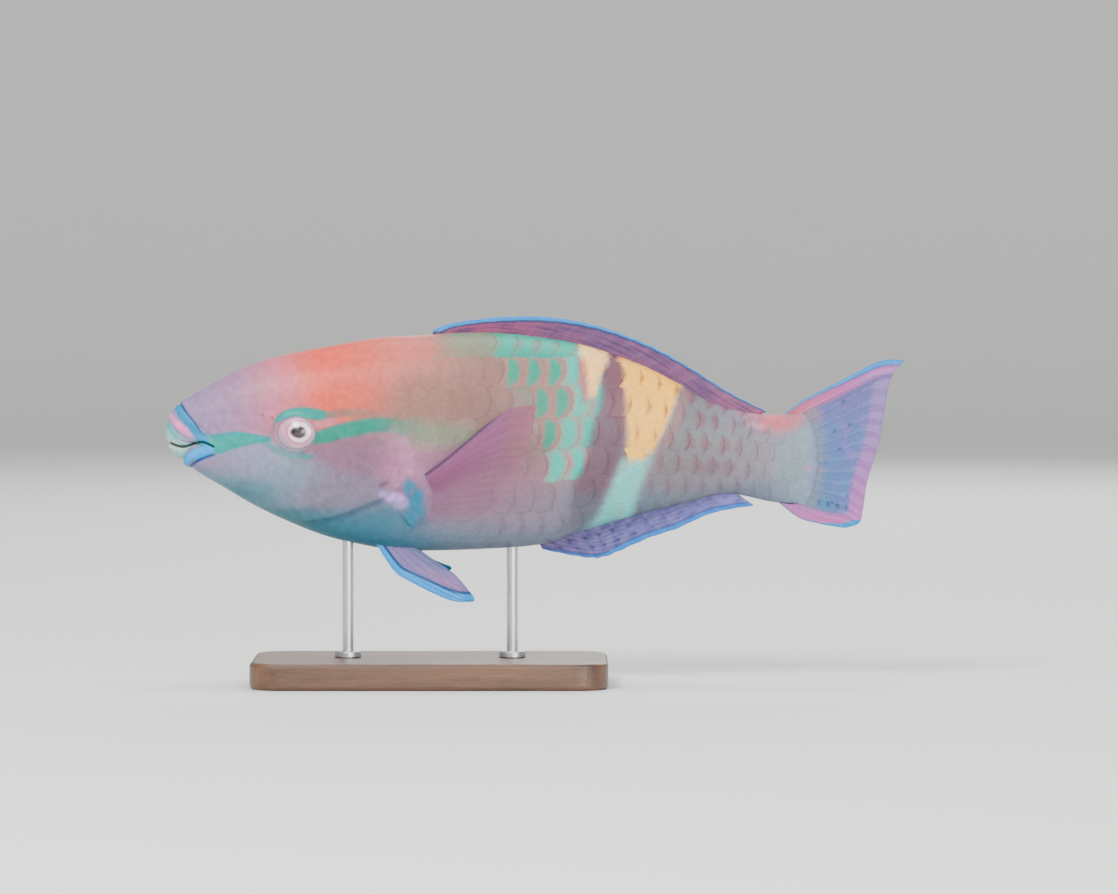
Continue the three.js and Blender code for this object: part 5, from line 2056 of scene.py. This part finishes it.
@dataclass
class Stand:
    """Plain walnut base with two brushed steel rods, each seated in a collar."""

    body: BodyForm
    base_size: Triple = (160.0, 84.0, 12.0)
    corner: float = 14.0
    edge_round: float = 2.0
    rod_radius: float = 2.5
    rods: Tuple[Tuple[str, float], ...] = (("stand_rod_front", -37.0), ("stand_rod_rear", 37.0))
    collar_radius: float = 6.0
    collar_height: float = 3.0
    seat: float = 1.5
    rim_round: float = 0.5
    rod_sink: float = 6.0

    def build_base(self, material: Material) -> None:
        """Makes the base piece.

        Args:
            material: its finish.
        """
        block = bmesh.new()
        bmesh.ops.create_cube(block, size=1.0)
        size = Vector(self.base_size) * MM
        bmesh.ops.scale(block, vec=size, verts=block.verts)
        bmesh.ops.translate(block, vec=(0, 0, size.z / 2), verts=block.verts)
        upright = [edge for edge in block.edges if not is_level(edge)]
        bevel(block, upright, self.corner, 10)
        rims = [edge for edge in block.edges if is_level(edge) and edge.calc_face_angle(0) > 1.0]
        bevel(block, rims, self.edge_round, 4)
        add_piece(as_mesh(block, "stand_base_walnut"), material, ("stand_base",), smooth=False)

    def build_rod(self, name: str, x: float, material: Material) -> None:
        """Makes one rod with its collar.

        Args:
            name: the CAD node that it stands for.
            x: its place along the base.
            material: its finish.
        """
        length = np.array(x - SNOUT_X)
        top = AXIS_HEIGHT + float(self.body.belly_at(self.body.station(length))) + self.seat
        floor = self.base_size[2]
        rod = bmesh.new()
        for radius, low, high in ((self.rod_radius, floor - self.rod_sink, top),
                                  (self.collar_radius, floor, floor + self.collar_height)):
            made = bmesh.ops.create_cone(
                rod, cap_ends=True, segments=48, radius1=radius * MM, radius2=radius * MM,
                depth=(high - low) * MM, matrix=Matrix.Translation((x * MM, 0, (high + low) / 2 * MM)))
            edges = dict.fromkeys(edge for vert in made["verts"] for edge in vert.link_edges)
            bevel(rod, [edge for edge in edges if is_level(edge)], self.rim_round, 3)
        add_piece(as_mesh(rod, name + "_steel"), material, (name,), smooth=False)

    def build(self) -> None:
        """Makes all the stand's pieces."""
        self.build_base(WoodFinish().build())
        steel = SteelFinish().build()
        for name, x in self.rods:
            self.build_rod(name, x, steel)


@dataclass
class Studio:
    """Camera, pale round backdrop and soft lights."""

    distance: float = 2600.0
    elevation: float = 2.2
    aim: Pair = (58.05, 106.85)
    picture_width: float = 503.1
    sensor: float = 36.0
    floor_radius: float = 3.2
    sweep_radius: float = 0.9
    wall_top: float = 3.6
    air_shade: str = "#f2f4f6"
    air_strength: float = 0.74
    lights: Tuple[Tuple[str, Triple, float, float], ...] = (
        ("key_softbox", (-0.7, -1.5, 1.5), 0.9, 62.0),
        ("fill_softbox", (0.9, -2.0, 0.3), 1.4, 48.0),
        ("top_softbox", (0.2, 0.3, 1.9), 1.0, 21.0),
        ("back_softbox", (0.4, 1.9, 1.2), 1.2, 24.0))

    def target(self) -> Vector:
        """Place that the camera and the lights point at."""
        return Vector((self.aim[0], 0.0, self.aim[1])) * MM

    def aimed(self, name: str, data: bpy.types.ID, place: Sequence[float]) -> bpy.types.Object:
        """Adds a camera or a light that points at the fish.

        Args:
            name: the object.
            data: its camera or light.
            place: where it stands.

        Returns:
            The object.
        """
        made = link(name, data)
        made.location = place
        made.rotation_mode = "QUATERNION"
        made.rotation_quaternion = (self.target() - Vector(place)).to_track_quat("-Z", "Y")
        return made

    def build_camera(self) -> None:
        """Sets the camera that matches the photo."""
        rise = math.radians(self.elevation)
        back = Vector((0.0, -math.cos(rise), math.sin(rise)))
        data = bpy.data.cameras.new("photo_camera")
        data.sensor_width = self.sensor
        data.lens = self.sensor * self.distance / self.picture_width
        data.clip_start, data.clip_end = 0.05, 20.0
        bpy.context.scene.camera = self.aimed("photo_camera", data, self.target() + back * self.distance * MM)

    def build_backdrop(self) -> None:
        """Makes the floor that curves up into a round wall."""
        bowl = bmesh.new()
        bmesh.ops.create_grid(bowl, x_segments=128, y_segments=48, size=0.5,
                              matrix=Matrix.Translation((0.5, 0.5, 0)))
        for vert in bowl.verts:
            turn, run = vert.co.x * math.tau, vert.co.y
            bend = min(max((run - 0.3) / 0.45, 0), 1) * math.pi / 2
            radius = self.floor_radius * min(run / 0.3, 1) + self.sweep_radius * math.sin(bend)
            height = self.sweep_radius * (1 - math.cos(bend))
            height += max(run - 0.75, 0) / 0.25 * (self.wall_top - self.sweep_radius)
            vert.co = (radius * math.cos(turn), radius * math.sin(turn), height)
        bmesh.ops.remove_doubles(bowl, verts=bowl.verts, dist=1e-5)
        mesh = as_mesh(bowl, "studio_floor")
        mesh.materials.append(FloorFinish().build())
        mesh.polygons.foreach_set("use_smooth", [True] * len(mesh.polygons))
        link("studio_floor", mesh)

    def build_lights(self) -> None:
        """Places the softboxes, all aimed at the fish, and the pale surroundings."""
        for name, place, size, power in self.lights:
            data = bpy.data.lights.new(name, "AREA")
            data.shape = "DISK"
            data.size = size
            data.energy = power
            self.aimed(name, data, place)
        world = bpy.data.worlds.new("studio_air")
        world.use_nodes = True
        sky = world.node_tree.nodes["Background"]
        sky.inputs["Color"].default_value = solid(self.air_shade)
        sky.inputs["Strength"].default_value = self.air_strength
        bpy.context.scene.world = world

    def build(self) -> None:
        """Makes all of the studio."""
        self.build_camera()
        self.build_backdrop()
        self.build_lights()


def build_fins(body: BodyForm) -> None:
    """Makes all seven fins.

    Args:
        body: the flesh that they are rooted in.
    """
    back = body.foot(body.back_at, 119.5, 262, 4)
    top = ((121, 49.8), (129.2, 52.65), (149.2, 55.3), (172.2, 55.5), (195.1, 51.3), (216.3, 43.6),
           (234.8, 33.7), (253.5, 21.8), (270.8, 12.9))
    DorsalFin("dorsal_fin", "dorsal_fin", back, top, (back[0], top[0]), (back[-1], top[-1]), 19,
              FinFinish("dorsal_fin_web"), spines=9, ray_half=(0.5, 0.22), scallop=0.015, rake=0.12).build()
    under = body.foot(body.belly_at, 166.5, 253, -4)
    rim = ((170, -49.3), (178.2, -51.1), (190, -53.1), (197.3, -52.8), (205.7, -49.5), (218, -44.1),
           (230.4, -40), (243.5, -34), (254.5, -31.2), (265.3, -29.6))
    AnalFin("anal_fin", "anal_fin", under, rim, (under[0], rim[0]), (under[-1], rim[-1]), 12,
            FinFinish("anal_fin_web"), spines=3, ray_half=(0.5, 0.22), scallop=0.012, rake=0.12).build()
    CaudalFin(
        "caudal_fin", "caudal_fin",
        ((276, 9.5), (283, -1), (284, -9), (282, -18), (276, -28)),
        ((332.8, 35.8), (326.6, 27), (323.6, 11.2), (321.3, -2), (316.4, -18), (314.3, -31.5), (312.6, -37.6),
         (306, -39.8)),
        ((276, 9.5), (285.75, 17.1), (295, 22), (306, 27.7), (319.5, 34.6), (326.7, 36.2), (332.8, 35.8)),
        ((276, -28), (285.1, -35), (294.75, -37.8), (300.6, -38.9), (306, -39.8)),
        15, FinFinish("tail_fin_web"), rows=96, ray_half=(0.7, 0.22), scallop=0.006, billow=0.12).build()
    for side in Side:
        PectoralFin(
            f"pectoral_fin_{side.name.lower()}", "pectoral_fin",
            ((112, -17.6), (115.8, -26), (115.6, -33.5)),
            ((167.6, 17.3), (164.5, 0), (160, -13.5), (152, -28), (139, -34.8)),
            ((112, -17.6), (123.7, -9.9), (137.1, 1.4), (147.1, 9.6), (156, 15), (167.6, 17.3)),
            ((115.6, -33.5), (126, -35.4), (139, -34.8)),
            14, FinFinish("pectoral_fin_web", 0.2, 0.9), rows=72, ray_half=(0.23, 0.085),
            web_half=(0.2, 0.08), scallop=0.01, billow=0.06, side=side, body=body).build()
    PelvicFin(
        "pelvic_fin_left", "pelvic_fin", ((95.2, -46.5), (103, -47), (111.2, -47)),
        ((139, -71.8), (139.6, -70.9), (138.9, -69.6)),
        ((95.2, -46.5), (103, -58.3), (110.7, -63.4), (128.7, -71.5), (139, -71.8)),
        ((111.2, -47), (127.6, -57.8), (133, -62.2), (138.9, -69.6)),
        6, FinFinish("pelvic_fin_web"), spines=1, rows=72, side=Side.LEFT).build()
    # The right belly fin is folded and lies on the far side, under the body: its edge, web and line colours
    # are the left fin's, darkened as painted shade.
    PelvicFin(
        "pelvic_fin_right", "pelvic_fin", ((97, -46.5), (104, -47), (111.2, -47)),
        ((128, -59.6), (128.7, -58.8), (128, -58)),
        ((97, -46.5), (106, -54), (117, -58.2), (128, -59.6)),
        ((111.2, -47), (120, -54), (128, -58)),
        6, FinFinish("pelvic_fin_web_in_shade"), spines=1, rows=72, side=Side.RIGHT,
        edge_shade="#2f8fae", web_shade="#4a7c92", line_shade="#24506e").build()


def main() -> None:
    """Builds the studio, the fish and its stand."""
    logging.basicConfig(level=logging.INFO, format="%(name)s: %(message)s")
    Studio().build()
    body, head, markings = BodyForm(), HeadForm(), Markings()
    Skin(body, head, markings, SkinFinish()).build()
    girth = Girth(body)
    scale = ScaleFinish().build()
    for side in Side:
        ScaleCoat(body, head, markings, girth, scale, side).build()
    build_fins(body)
    eyeball = EyeFinish().build()
    for side in Side:
        Eye(body, head, side, eyeball).build()
    enamel = BeakFinish().build()
    BeakPlate(body, head, enamel, "beak_upper", True, head.upper_lip_edge,
              ((-2, -0.3), (1.35, -0.5), (7.65, -2.2), (13.8, -0.9), (15.75, -1))).build()
    BeakPlate(body, head, enamel, "beak_lower", False, tuple(reversed(head.lower_lip_edge)),
              ((-2, -2.1), (1.35, -2.2), (7.65, -3.8), (13.8, -1.8), (15.75, -1))).build()
    Stand(body).build()


if __name__ == "__main__":
    main()
